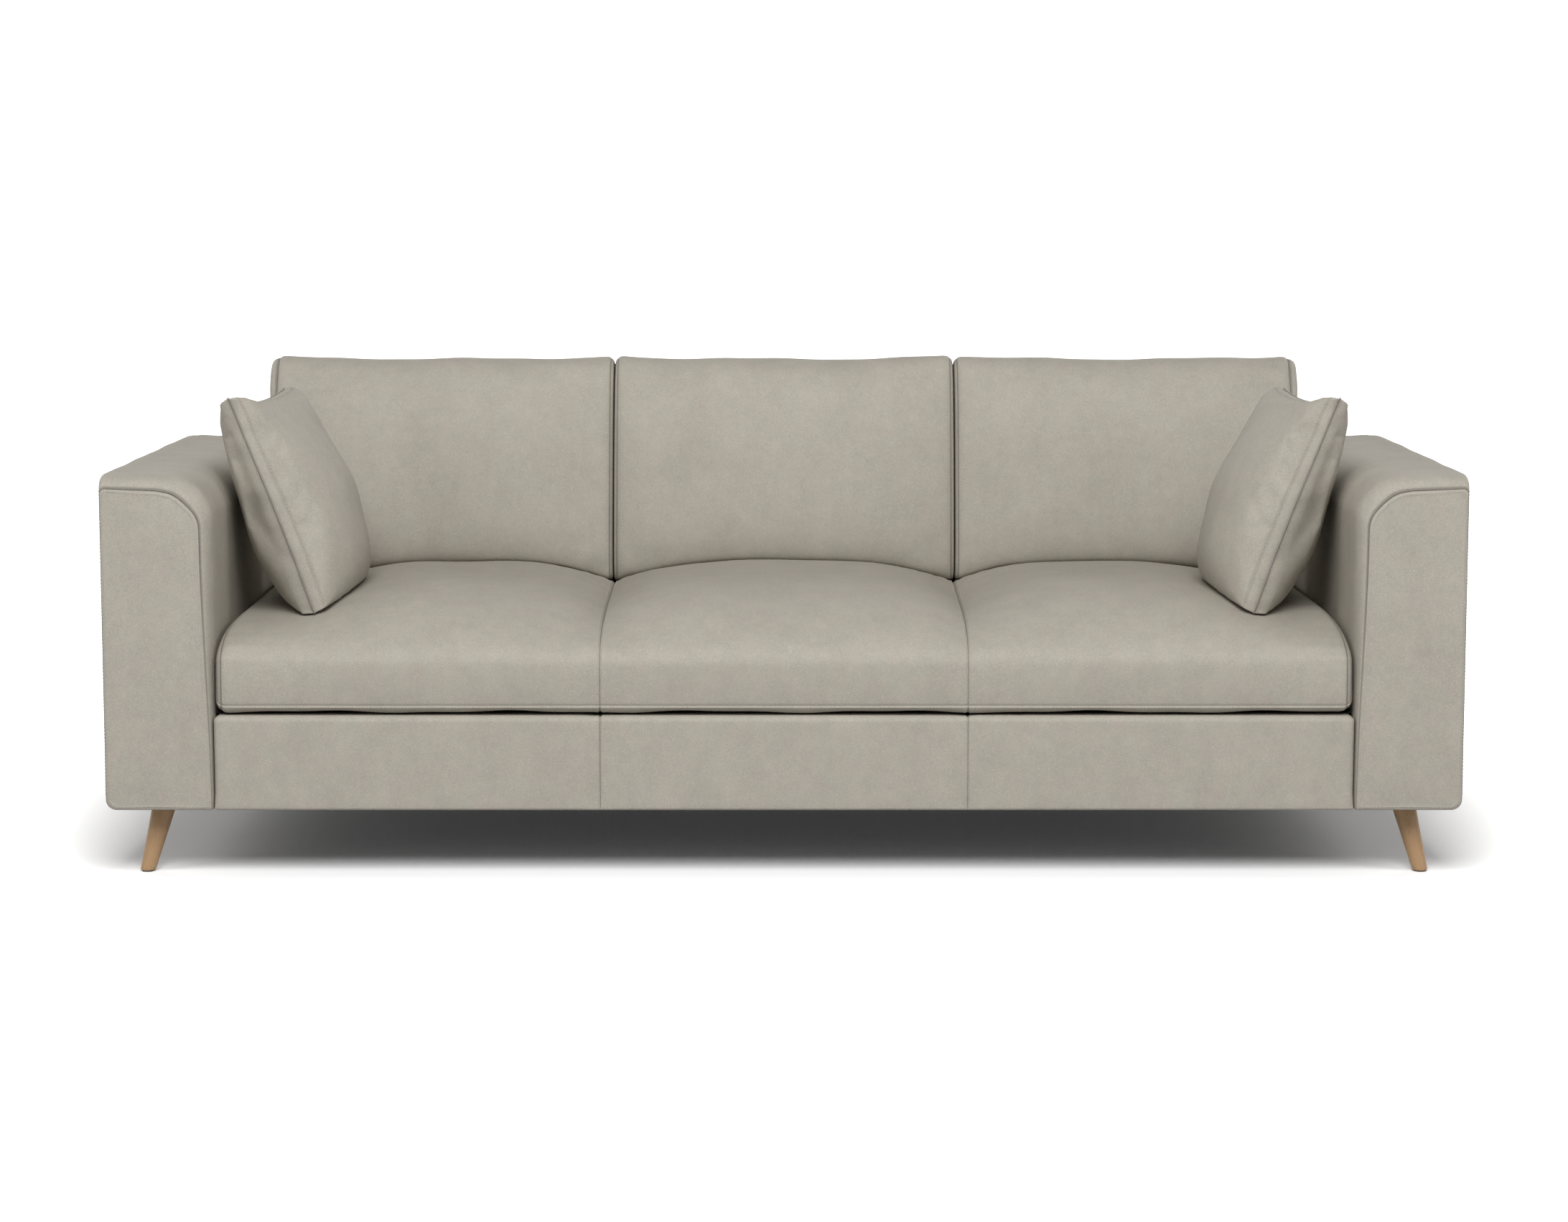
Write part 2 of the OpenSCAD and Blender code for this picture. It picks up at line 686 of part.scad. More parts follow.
// A zip lies flush in the rear wall of a cover: a woven tape with the teeth and the slider on it
zip_h = 12;

module zip_slot(width, y, z) {
  block([-width / 2, y - leather_t - 1, z - zip_h / 2], [width / 2, y + 5, z + zip_h / 2]);
}

module zip(width, y, z) {
  color(black_cloth) union() {
    block([-width / 2 + touch, y - leather_t - 0.2, z - zip_h / 2 + touch],
          [width / 2 - touch, y - leather_t + 0.6, z + zip_h / 2 - touch]);
    block([-width / 2 + 6, y - leather_t + 0.5, z - 2], [width / 2 - 6, y - leather_t + 1.2, z + 2]);
    block([width / 2 - 26, y - leather_t + 0.5, z - 4], [width / 2 - 14, y, z + 4]);
  }
}

module seat_cushion_zip() {
  zip(seat_zip_w, seat_cushion_y[1], seat_cushion_z + 30);
}

// Back cushions: they stand on the seat cushion and lean on the inside back
back_cushion_gap = 2;
back_cushion_w = seat_w / seats - back_cushion_gap;
back_heel = seat_crown - 8;   // rise of the underside over the crown of the seat
back_zip_w = 380;
back_size = [back_cushion_w, back_cushion_t, back_cushion_l];
back_square = [8, 3, 5, 7];
back_swells = [back_crown, 0, back_heel];

// Middle of a back cushion above the place where its lean meets the inside back
back_middle = [0, -back_cushion_t / 2 - touch, back_cushion_l / 2 + back_cushion_t / 2 * back_slope];
function back_leaned(p) = let (y = p[1] + back_middle[1], z = p[2] + back_middle[2])
  [p[0], y * cos(back_lean) + z * sin(back_lean), z * cos(back_lean) - y * sin(back_lean)];

// Points along the underside, to find the height at which it rests on the seat cushion
function back_underside() =
  [for (x = cushion_stations(back_cushion_w / 2, 1, cushion_round))
    let (ring = cushion_ring(x, back_size, back_square, back_swells, 1, 0, back_slope, 0))
    each [for (j = [section_points / 2:section_points - 2], share = [0, 0.25, 0.5, 0.75])
      let (p = ring[j] * (1 - share) + ring[j + 1] * share) back_leaned([x, p[0], p[1]])]];

function back_rest(x, z) = max([for (p = back_underside())
  seat_top(p[0] + x, p[1] + back_face_y(z)) + 4 * touch - p[2]]);
back_cushion_xs = [for (i = [0:seats - 1]) -seat_w / 2 + (i + 0.5) * seat_w / seats];
back_cushion_z0 = seat_cushion_z + seat_edge_t;
back_cushion_z = max([for (x = back_cushion_xs) back_rest(x, back_rest(x, back_cushion_z0))]);

// Children are drawn at a back cushion's middle, with Z along its lean
module at_back_cushion(i) {
  translate([back_cushion_xs[i], back_face_y(back_cushion_z), back_cushion_z])
    rotate([-back_lean, 0, 0]) translate(back_middle) children();
}

module back_cushion_solid(inset) {
  boxed_cushion(back_size, back_square, back_swells, 1, 0, back_slope, inset);
}

module back_cushion_core(i) {
  color(foam) at_back_cushion(i) back_cushion_solid(core_inset);
}

module back_cushion_cover(i) {
  color(leather) at_back_cushion(i) difference() {
    back_cushion_solid(0);
    back_cushion_solid(leather_t);
    zip_slot(back_zip_w, back_cushion_t / 2, -back_cushion_l / 2 + 150);
  }
}

module back_cushion_zip(i) {
  at_back_cushion(i) zip(back_zip_w, back_cushion_t / 2, -back_cushion_l / 2 + 150);
}

// Scatter cushions: two panels sewn at a knife edge, with ears at the corners
scatter_edge_t = 8;
scatter_bow = 12;     // how far the seams lie in front of the middle of the filling, as it bends over the arm
scatter_steps = 8;

// Points of both panels, with the edges drawn in between the blunt corners
function scatter_points(half, edge, rise) =
  let (n = scatter_steps)
  [for (way = [1, -1], i = [0:n], j = [0:n])
    let (u = 2 * i / n - 1, v = 2 * j / n - 1, corner = 0.035 * pow(u * v, 8))
    [half * u * (1 - 0.07 * (1 - v * v) - corner), half * v * (1 - 0.07 * (1 - u * u) - corner),
     way * (edge + (rise - way * scatter_bow) * (1 - pow(abs(u), 2.6)) * (1 - pow(abs(v), 2.6)))]];

// inset is taken off the thickness and off the outline
module scatter_solid(inset) {
  n = scatter_steps;
  half = scatter_size / 2 - inset * 2.5;
  edge = scatter_edge_t / 2 - inset * 0.5;
  rise = scatter_t / 2 - edge - inset;
  points = scatter_points(half, edge, rise);
  function at(way, i, j) = way * (n + 1) * (n + 1) + i * (n + 1) + j;
  rim = concat([for (i = [0:n - 1]) [i, 0]], [for (j = [0:n - 1]) [n, j]],
               [for (i = [n:-1:1]) [i, n]], [for (j = [n:-1:1]) [0, j]]);
  faces = concat(
    [for (i = [0:n - 1], j = [0:n - 1], half = [0, 1])
      half == 0 ? [at(0, i, j), at(0, i, j + 1), at(0, i + 1, j + 1)]
                : [at(0, i, j), at(0, i + 1, j + 1), at(0, i + 1, j)]],
    [for (i = [0:n - 1], j = [0:n - 1], half = [0, 1])
      half == 0 ? [at(1, i, j), at(1, i + 1, j + 1), at(1, i, j + 1)]
                : [at(1, i, j), at(1, i + 1, j), at(1, i + 1, j + 1)]],
    [for (k = [0:len(rim) - 1], half = [0, 1])
      let (a = rim[k], b = rim[(k + 1) % len(rim)])
      half == 0 ? [at(0, a[0], a[1]), at(0, b[0], b[1]), at(1, b[0], b[1])]
                : [at(0, a[0], a[1]), at(1, b[0], b[1]), at(1, a[0], a[1])]]);
  polyhedron(points = points, faces = faces);
}

// How far the scatter cushion is turned, and how far its middle lies behind the arm's front:
// what the seat leaves in front of the back cushions is shared out before and behind it
scatter_turn = 6;
scatter_sink = 22;    // how much of its lower edge is squashed flat on the seat
seat_free = back_face_y(back_cushion_z) - (back_cushion_t + back_crown) / cos(back_lean) - front_y;
scatter_y = scatter_size / 2 + 0.57 * (seat_free - scatter_size);

// A point of the cushion leaned and turned about its middle
function leaned(p) =
  let (x = p[2] * cos(scatter_lean) - p[1] * sin(scatter_lean), z = p[2] * sin(scatter_lean) + p[1] * cos(scatter_lean))
  [x * cos(scatter_turn) + p[0] * sin(scatter_turn), p[0] * cos(scatter_turn) - x * sin(scatter_turn), z];

scatter_spread = [for (p = scatter_points(scatter_size / 2, scatter_edge_t / 2, (scatter_t - scatter_edge_t) / 2))
  leaned(p)];

// Inner side of the left arm at a height, counted from the seat's left end
function arm_side(z) =
  let (centre = arm_top(arm_w - arm_roll_r) - arm_roll_r, rise = z - centre)
  rise <= 0 ? 0 : rise >= arm_roll_r ? -sofa_w : sqrt(arm_roll_r * arm_roll_r - rise * rise) - arm_roll_r;

// It stands on the seat and leans on the arm
scatter_low = min([for (p = scatter_spread) p[2]]);
function scatter_x_at(z) =
  -seat_w / 2 + touch + max([for (p = scatter_spread) arm_side(p[2] + z) - p[0]]);
function scatter_z_at(x) = touch - scatter_sink + max([for (p = scatter_spread)
  if (p[2] < scatter_low + 60) seat_top(p[0] + x, p[1] + front_y + scatter_y) - p[2]]);
scatter_z0 = seat_cushion_z + seat_edge_t + seat_crown / 2 - scatter_low - scatter_sink;
scatter_x = scatter_x_at(scatter_z_at(scatter_x_at(scatter_z0)));
scatter_z = scatter_z_at(scatter_x);

// Children are drawn in the place of the scatter cushion that leans on that arm
module at_scatter(side) {
  mirror([side == "left" ? 0 : 1, 0, 0]) translate([scatter_x, front_y + scatter_y, scatter_z])
    rotate([0, 0, -scatter_turn]) rotate([0, -scatter_lean, 0]) rotate([90, 0, 90]) children();
}

// The cushion in its place, squashed where it stands on the seat
module squashed_scatter(side, inset) {
  difference() {
    at_scatter(side) scatter_solid(inset);
    seat_cushion_solid(-touch - inset);
  }
}

module scatter_filling(side) {
  color(wadding) squashed_scatter(side, core_inset);
}

module scatter_cover(side) {
  color(leather) difference() {
    squashed_scatter(side, 0);
    squashed_scatter(side, leather_t);
  }
}

// ---------------------------------------------------------------- nodes

front_rail();
back_rail();
end_rails();
cross_rails();
arm_front_boards();
arm_back_boards();
arm_top_boards();
arm_base_rails();
arm_bolting_rails();
arm_bolts();
leg_blocks();
back_uprights();
back_top_rail();
back_lower_rails();
back_webbing();
spring_clips();
spring_stay_wires();
deck_cloth();
dust_cover();
front_border_pad();
front_border_cover();
back_pad();
back_cover();
outside_back_pad();
outside_back_cover();
leg_plates();
leg_plate_screws();
hanger_bolts();
foot_glides();
seat_cushion_core();
seat_cushion_cover();
seat_cushion_zip();
for (side = SIDES) {
  arm_front_pad(side);
  arm_outer_pad(side);
  arm_pad(side);
  arm_cover(side);
  scatter_filling(side);
  scatter_cover(side);
  leg(side == "left" ? -1 : 1, -1);
  leg(side == "left" ? -1 : 1, 1);
}
for (i = [0:seats - 1]) {
  seat_springs(i);
  back_cushion_core(i);
  back_cushion_cover(i);
  back_cushion_zip(i);
}
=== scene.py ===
"""Three-seat leather sofa on splayed wooden legs: upholstery, legs, finishes and studio."""

import json
import math

import bmesh
import bpy
import numpy as np
from bpy.props import FloatProperty, FloatVectorProperty, IntProperty, PointerProperty
from mathutils import Matrix, Vector
from mathutils.bvhtree import BVHTree


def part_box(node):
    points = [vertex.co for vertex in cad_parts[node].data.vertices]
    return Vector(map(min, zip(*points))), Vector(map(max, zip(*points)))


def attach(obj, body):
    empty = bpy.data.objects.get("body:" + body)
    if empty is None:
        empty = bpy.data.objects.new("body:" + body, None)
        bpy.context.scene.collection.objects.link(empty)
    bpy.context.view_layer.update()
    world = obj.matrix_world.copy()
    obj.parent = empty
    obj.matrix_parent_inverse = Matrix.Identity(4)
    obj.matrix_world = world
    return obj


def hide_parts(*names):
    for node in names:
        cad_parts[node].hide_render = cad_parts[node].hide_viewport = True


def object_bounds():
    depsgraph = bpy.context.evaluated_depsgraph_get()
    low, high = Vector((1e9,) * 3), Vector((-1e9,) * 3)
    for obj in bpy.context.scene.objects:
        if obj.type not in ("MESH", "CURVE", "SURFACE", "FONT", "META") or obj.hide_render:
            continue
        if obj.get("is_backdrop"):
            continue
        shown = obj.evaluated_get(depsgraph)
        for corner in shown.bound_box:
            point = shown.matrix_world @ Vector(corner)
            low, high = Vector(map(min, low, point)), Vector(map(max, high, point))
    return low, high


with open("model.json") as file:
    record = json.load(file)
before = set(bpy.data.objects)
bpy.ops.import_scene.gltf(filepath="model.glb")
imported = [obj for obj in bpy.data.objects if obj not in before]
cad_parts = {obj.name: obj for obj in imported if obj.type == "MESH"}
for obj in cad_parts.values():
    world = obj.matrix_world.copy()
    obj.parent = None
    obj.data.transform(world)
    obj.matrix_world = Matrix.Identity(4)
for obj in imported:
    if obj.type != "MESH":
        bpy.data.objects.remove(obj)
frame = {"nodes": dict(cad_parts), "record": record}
CAD_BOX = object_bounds()

bl_info = {
    "name": "Leather Sofa",
    "version": (1, 0, 0),
    "blender": (4, 5, 0),
    "location": "View3D > Sidebar > Sofa",
    "description": "Builds the upholstery, legs and finishes of a leather sofa",
    "category": "Add Mesh",
}

SIDES = ("left", "right")
SEATS = ("left", "centre", "right")
MM = 0.001
# Half the width of the painted shade line in a seam
SEAM_LINE = 0.0007


# ---------------------------------------------------------------- settings


class SofaSizes(bpy.types.PropertyGroup):
    """Sizes of the upholstery"""

    seam_depth: FloatProperty(
        name="Seam depth", default=0.0020, unit="LENGTH",
        description="How deep a sewn seam sinks into the leather",
    )
    seam_reach: FloatProperty(
        name="Seam reach", default=0.006, unit="LENGTH",
        description="Width of the roll on each side of a seam",
    )
    seam_at: FloatProperty(
        name="Seam place", default=0.3245, unit="LENGTH",
        description="Distance of the seat and border seams from the middle",
    )
    stitch_pitch: FloatProperty(
        name="Stitch spacing", default=0.0062, unit="LENGTH",
        description="Distance from stitch to stitch",
    )
    stitch_length: FloatProperty(
        name="Stitch length", default=0.0042, unit="LENGTH",
        description="Length of thread that shows at each stitch",
    )
    stitch_width: FloatProperty(
        name="Thread width", default=0.0010, unit="LENGTH",
        description="Width of the sewing thread",
    )
    arm_roll: FloatVectorProperty(
        name="Arm roll", default=(0.085, 0.066), size=2, unit="LENGTH",
        description="How far the arm's inner top edge is rounded, across and down",
    )
    arm_fall: FloatProperty(
        name="Arm fall", default=0.008, unit="LENGTH",
        description="Drop of the arm's top towards the seat",
    )
    arm_bulge: FloatProperty(
        name="Arm bulge", default=0.046, unit="LENGTH",
        description="Length over which the arm's padding rounds off to its front seam",
    )
    seat_crown: FloatProperty(
        name="Seat crown", default=0.054, unit="LENGTH",
        description="Extra height in the middle of each seat",
    )
    back_lean: FloatProperty(
        name="Back lean", default=math.radians(12), subtype="ANGLE",
        description="Lean of the inside back and its cushions",
    )
    seat_gusset: FloatProperty(
        name="Seat gusset", default=0.013, unit="LENGTH",
        description="How far the seat's end gussets swell past their seams",
    )
    back_gusset: FloatProperty(
        name="Back gusset", default=0.0065, unit="LENGTH",
        description="How far the back cushions' gussets swell past their seams",
    )
    scatter_size: FloatProperty(
        name="Scatter cushion", default=0.436, unit="LENGTH",
        description="Side of a scatter cushion",
    )
    scatter_depth: FloatVectorProperty(
        name="Scatter filling", default=(0.090, 0.073), size=2, unit="LENGTH",
        description="Swell of a scatter cushion on its inner and its outer side",
    )
    scatter_lean: FloatProperty(
        name="Scatter lean", default=math.radians(22), subtype="ANGLE",
        description="Lean of a scatter cushion on the arm",
    )
    scatter_turn: FloatProperty(
        name="Scatter turn", default=math.radians(6), subtype="ANGLE",
        description="Turn of a scatter cushion to the front",
    )
    puff_frames: IntProperty(
        name="Filling steps", default=20, min=5, max=60,
        description="Steps for which the scatter cushions are blown up",
    )


class SofaColours(bpy.types.PropertyGroup):
    """Colours of the finishes and the backdrop"""

    leather: FloatVectorProperty(
        name="Leather", default=(0.408, 0.379, 0.323), size=3, subtype="COLOR",
        description="Main colour of the leather",
    )
    leather_warm: FloatVectorProperty(
        name="Warm clouding", default=(0.414, 0.368, 0.326), size=3, subtype="COLOR",
        description="Pinkish clouding of the leather",
    )
    leather_cool: FloatVectorProperty(
        name="Cool clouding", default=(0.392, 0.380, 0.317), size=3, subtype="COLOR",
        description="Greenish clouding of the leather",
    )
    thread: FloatVectorProperty(
        name="Thread", default=(0.52, 0.49, 0.42), size=3, subtype="COLOR",
        description="Sewing thread",
    )
    oak: FloatVectorProperty(
        name="Oak", default=(0.37, 0.228, 0.115), size=3, subtype="COLOR",
        description="Oiled oak of the legs",
    )
    backdrop: FloatVectorProperty(
        name="Backdrop", default=(1.0, 1.0, 1.0), size=3, subtype="COLOR",
        description="Floor and backdrop as the camera sees them",
    )


def sizes():
    return bpy.context.scene.sofa_sizes


def colours():
    return bpy.context.scene.sofa_colours


# ---------------------------------------------------------------- shader expressions


class Socket:
    """A node's output in an expression. Arithmetic on it adds Math nodes."""

    def __init__(self, tree, link):
        self.tree, self.link = tree, link

    def _math(self, operation, *values):
        return self.tree.add("ShaderNodeMath", {"operation": operation}, *values)

    def __add__(self, other):
        return self._math("ADD", self, other)

    def __sub__(self, other):
        return self._math("SUBTRACT", self, other)

    def __rsub__(self, other):
        return self._math("SUBTRACT", other, self)

    def __mul__(self, other):
        return self._math("MULTIPLY", self, other)

    __radd__ = __add__
    __rmul__ = __mul__

    def smooth(self, low, high, to_low=0.0, to_high=1.0):
        settings = {"interpolation_type": "SMOOTHSTEP"}
        return self.tree.add("ShaderNodeMapRange", settings, self, low, high, to_low, to_high)


class Material:
    """A material that is built by expressions."""

    def __init__(self, name):
        self.data = bpy.data.materials.new(name)
        self.data.use_nodes = True
        self.tree = self.data.node_tree
        self.shader = self.tree.nodes["Principled BSDF"]
        self.output = self.tree.nodes["Material Output"]

    def add(self, kind, settings, *values, out=0, **named):
        """A node of a kind: its settings first, then the values or links of its sockets."""
        node = self.tree.nodes.new(kind)
        for key, value in settings.items():
            setattr(node, key, value)
        for key, value in (*enumerate(values), *named.items()):
            target = node.inputs[key.replace("_", " ") if isinstance(key, str) else key]
            self.feed(target, value)
        return Socket(self, node.outputs[out])

    def feed(self, target, value):
        if isinstance(value, Socket):
            self.tree.links.new(value.link, target)
        elif isinstance(value, (int, float)):
            target.default_value = value
        else:
            target.default_value = (*value, 1.0)[: len(target.default_value)]

    def mix(self, share, a, b, blend="MIX"):
        node = self.tree.nodes.new("ShaderNodeMix")
        node.data_type, node.blend_type = "RGBA", blend
        for key, value in ((0, share), (6, a), (7, b)):
            self.feed(node.inputs[key], value)
        return Socket(self, node.outputs[2])

    def place(self, scale=(1, 1, 1), turn=(0, 0, 0)):
        """Place on the object in metres, stretched and turned."""
        coords = self.add("ShaderNodeTexCoord", {}, out="Object")
        return self.add("ShaderNodeMapping", {}, coords, Scale=scale, Rotation=turn)

    def noise(self, vector, scale, detail=2.0, roughness=0.5, out="Fac"):
        return self.add(
            "ShaderNodeTexNoise", {}, out=out,
            Vector=vector, Scale=scale, Detail=detail, Roughness=roughness,
        )

    def cells(self, vector, scale, feature="F1", out="Distance"):
        settings = {"feature": feature}
        return self.add("ShaderNodeTexVoronoi", settings, out=out, Vector=vector, Scale=scale)

    def attribute(self, name, out="Fac"):
        return self.add("ShaderNodeAttribute", {"attribute_name": name}, out=out)

    def vector(self, operation, *values, out=0):
        return self.add("ShaderNodeVectorMath", {"operation": operation}, *values, out=out)

    def larger(self, a, b):
        return self.add("ShaderNodeMath", {"operation": "MAXIMUM"}, a, b)

    def bump(self, height, distance, strength=1.0, normal=None):
        extra = {} if normal is None else {"Normal": normal}
        return self.add(
            "ShaderNodeBump", {}, Height=height, Distance=distance, Strength=strength, **extra
        )

    def finish(self, **sockets):
        """Sets the shader's own sockets and hands over the material."""
        for key, value in sockets.items():
            self.feed(self.shader.inputs[key.replace("_", " ")], value)
        return self.data


MADE = {}


def material(name):
    """Makes each finish once."""
    if name not in MADE:
        MADE[name] = FINISHES[name]()
    return MADE[name]


def leather():
    """Pebbled leather, clouded and speckled with painted highlights, with painted shade in its
    creases and seams.
    """
    m, c = Material("leather"), colours()
    place = m.place()
    # Pebbles and finer creases between them
    wander = m.vector("SUBTRACT", m.noise(place, 160, 2, out="Color"), (0.5, 0.5, 0.5))
    bent = m.vector("ADD", place, m.vector("MULTIPLY", wander, (0.0030, 0.0030, 0.0030)))
    crease = m.cells(bent, 620, "DISTANCE_TO_EDGE").smooth(0.0, 0.30)
    pebble = m.cells(bent, 410, "DISTANCE_TO_EDGE").smooth(0.0, 0.35)
    # Clouding from coarse to fine, and pale specks that are painted highlights on the grain's peaks
    clouds = m.noise(place, 21, 5, 0.68).smooth(0.33, 0.67)
    patches = m.noise(m.place((1.0, 1.0, 0.6), (0.4, 0.2, 0.1)), 16, 4, 0.62)
    blots = m.noise(place, 46, 4, 0.7)
    grainy = m.noise(place, 380, 3, 0.75)
    speck = m.cells(bent, 235).smooth(0.30, 0.10)
    chance = m.noise(place, 90, 2, 0.6).smooth(0.42, 0.62)
    seam = m.attribute("seam")
    base = m.mix(clouds, c.leather_cool, c.leather_warm)
    base = m.mix(0.50, base, c.leather)
    light = 1.0 + (patches - 0.5) * 0.20 + (blots - 0.5) * 0.20 + (grainy - 0.5) * 0.52
    # Painted shade in the creases and in the valleys between the pebbles
    light = light - (1.0 - crease) * 0.05 - (1.0 - pebble) * 0.06
    base = m.mix(1.0, base, m.add("ShaderNodeCombineColor", {}, light, light, light), "MULTIPLY")
    # Pale specks: painted highlights where the grain's peaks catch the light
    base = m.mix(speck * chance * 0.28, base, (0.66, 0.64, 0.58))
    # Painted shade in the seams: the seam attribute darkens the base colour where the groove's
    # shadow falls
    base = m.mix(seam * 0.62, base, (0.09, 0.083, 0.070))
    rough = 0.56 + (1.0 - crease) * 0.12 + (blots - 0.5) * 0.25 + seam * 0.2
    normal = m.bump(pebble * 0.7 + crease * 0.4 + grainy * 0.5, 0.0005, 0.42)
    normal = m.bump(m.noise(place, 28, 3, 0.55), 0.0022, 0.16, normal)
    return m.finish(
        Base_Color=base, Roughness=rough, Normal=normal, IOR=1.42, Specular_IOR_Level=0.30
    )


def thread():
    """Twisted sewing thread."""
    m, c = Material("thread"), colours()
    bands = {"bands_direction": "DIAGONAL"}
    twist = m.add("ShaderNodeTexWave", bands, m.place(), Scale=900, Distortion=1.5)
    base = m.mix(twist * 0.5, c.thread, tuple(0.55 * v for v in c.thread))
    return m.finish(Base_Color=base, Roughness=0.62, Normal=m.bump(twist, 0.0002, 0.5))


def oak():
    """Oiled oak, with its grain along the leg."""
    m, c = Material("oiled_oak"), colours()
    along = m.attribute("grain", "Vector")
    stretched = m.vector("MULTIPLY", along, (1.0, 1.0, 0.055))
    warp = m.vector("SUBTRACT", m.noise(stretched, 55, 2, out="Color"), (0.5, 0.5, 0.5))
    bent = m.vector("ADD", stretched, m.vector("MULTIPLY", warp, (0.006, 0.006, 0.006)))
    bands = {"wave_type": "BANDS", "bands_direction": "X"}
    rings = m.add("ShaderNodeTexWave", bands, bent, Scale=95, Distortion=2.2, Detail=2.0)
    fibres = m.noise(m.vector("MULTIPLY", along, (1.0, 1.0, 0.02)), 950, 3, 0.6)
    pores = m.noise(m.vector("MULTIPLY", along, (1.0, 1.0, 0.035)), 1500, 1, 0.5).smooth(0.62, 0.74)
    dark = tuple(0.62 * v for v in c.oak)
    pale = tuple(min(1.0, 1.16 * v) for v in c.oak)
    base = m.mix(rings.smooth(0.25, 0.95), pale, c.oak)
    base = m.mix((fibres - 0.3) * 0.6, base, dark)
    base = m.mix(pores * 0.45, base, tuple(0.45 * v for v in c.oak))
    rough = 0.42 + fibres * 0.16 + pores * 0.2
    normal = m.bump(fibres - pores * 0.6, 0.0002, 0.35)
    return m.finish(Base_Color=base, Roughness=rough, Normal=normal)


def timber():
    """Sawn timber of the frame."""
    m = Material("frame_timber")
    along = m.place((1.0, 6.0, 6.0))
    bands = {"bands_direction": "Y"}
    rings = m.add("ShaderNodeTexWave", bands, along, Scale=9, Distortion=5.0, Detail=3.0)
    fibres = m.noise(m.place((4.0, 60.0, 60.0)), 9, 3, 0.6)
    base = m.mix(rings * 0.6, (0.64, 0.47, 0.27), (0.50, 0.34, 0.18))
    base = m.mix(fibres * 0.3, base, (0.40, 0.27, 0.14))
    rough, normal = 0.62 + fibres * 0.2, m.bump(fibres, 0.0004, 0.4)
    return m.finish(Base_Color=base, Roughness=rough, Normal=normal)


def felted(name, colour, scale, depth):
    """Felt or unwoven cloth, full of small pores."""
    m = Material(name)
    pores = m.cells(m.place(), scale)
    tone = m.noise(m.place(), 14, 2)
    base = m.mix(pores * 0.5 + tone * 0.2, colour, tuple(0.78 * v for v in colour))
    return m.finish(Base_Color=base, Roughness=0.92, Normal=m.bump(pores, depth, 0.6))


def woven(name, colour, threads, depth=0.0004):
    """Cloth or webbing of crossed threads."""
    m = Material(name)
    over, under = (
        m.add("ShaderNodeTexWave", {"bands_direction": way}, m.place(), Scale=threads / 2)
        for way in "XY"
    )
    weave = over * under
    fuzz = m.noise(m.place(), 90, 3, 0.6)
    shade, light = (tuple(share * v for v in colour) for share in (0.7, 1.5))
    base = m.mix(weave * 0.6 + fuzz * 0.25, shade, light)
    return m.finish(Base_Color=base, Roughness=0.85, Normal=m.bump(weave + fuzz * 0.3, depth, 0.7))


def steel():
    """Zinc-plated steel of springs, plates and bolts."""
    m = Material("zinc_steel")
    streaks = m.noise(m.place((1.0, 8.0, 8.0)), 60, 3, 0.6)
    spangle = m.cells(m.place(), 240, out="Color")
    base = m.mix(spangle * 0.25, (0.52, 0.53, 0.55), (0.66, 0.67, 0.68))
    rough, normal = 0.26 + streaks * 0.22, m.bump(streaks, 0.0001, 0.2)
    return m.finish(Base_Color=base, Metallic=1.0, Roughness=rough, Normal=normal)


FINISHES = {
    "leather": leather,
    "thread": thread,
    "oak": oak,
    "timber": timber,
    "steel": steel,
    "webbing": lambda: woven("elastic_webbing", (0.055, 0.05, 0.045), 900, 0.0005),
    "deck": lambda: woven("deck_cloth", (0.030, 0.030, 0.032), 1400),
    "dust": lambda: felted("dust_cloth", (0.022, 0.022, 0.023), 900, 0.0003),
    "tape": lambda: woven("zip_tape", (0.16, 0.15, 0.13), 2400),
    "felt": lambda: felted("felt_glide", (0.10, 0.09, 0.08), 1300, 0.0006),
}

CAD_FINISH = {
    "frame_timber": "timber",
    "steel": "steel",
    "webbing": "webbing",
    "deck_cloth": "deck",
    "dust_cloth": "dust",
    "glide_felt": "felt",
}


# ---------------------------------------------------------------- mesh building


def add_object(name, data):
    """An object at the origin that holds a mesh, a lamp or a camera."""
    made = bpy.data.objects.new(name, data)
    bpy.context.scene.collection.objects.link(made)
    return made


def unit(vectors):
    """Vectors at a length of one."""
    return vectors / np.maximum(np.linalg.norm(vectors, axis=-1, keepdims=True), 1e-12)


def at_x(x, section):
    """Points of a section, in depth and height, at a place along the width."""
    return np.column_stack([np.broadcast_to(x, len(section)), section])


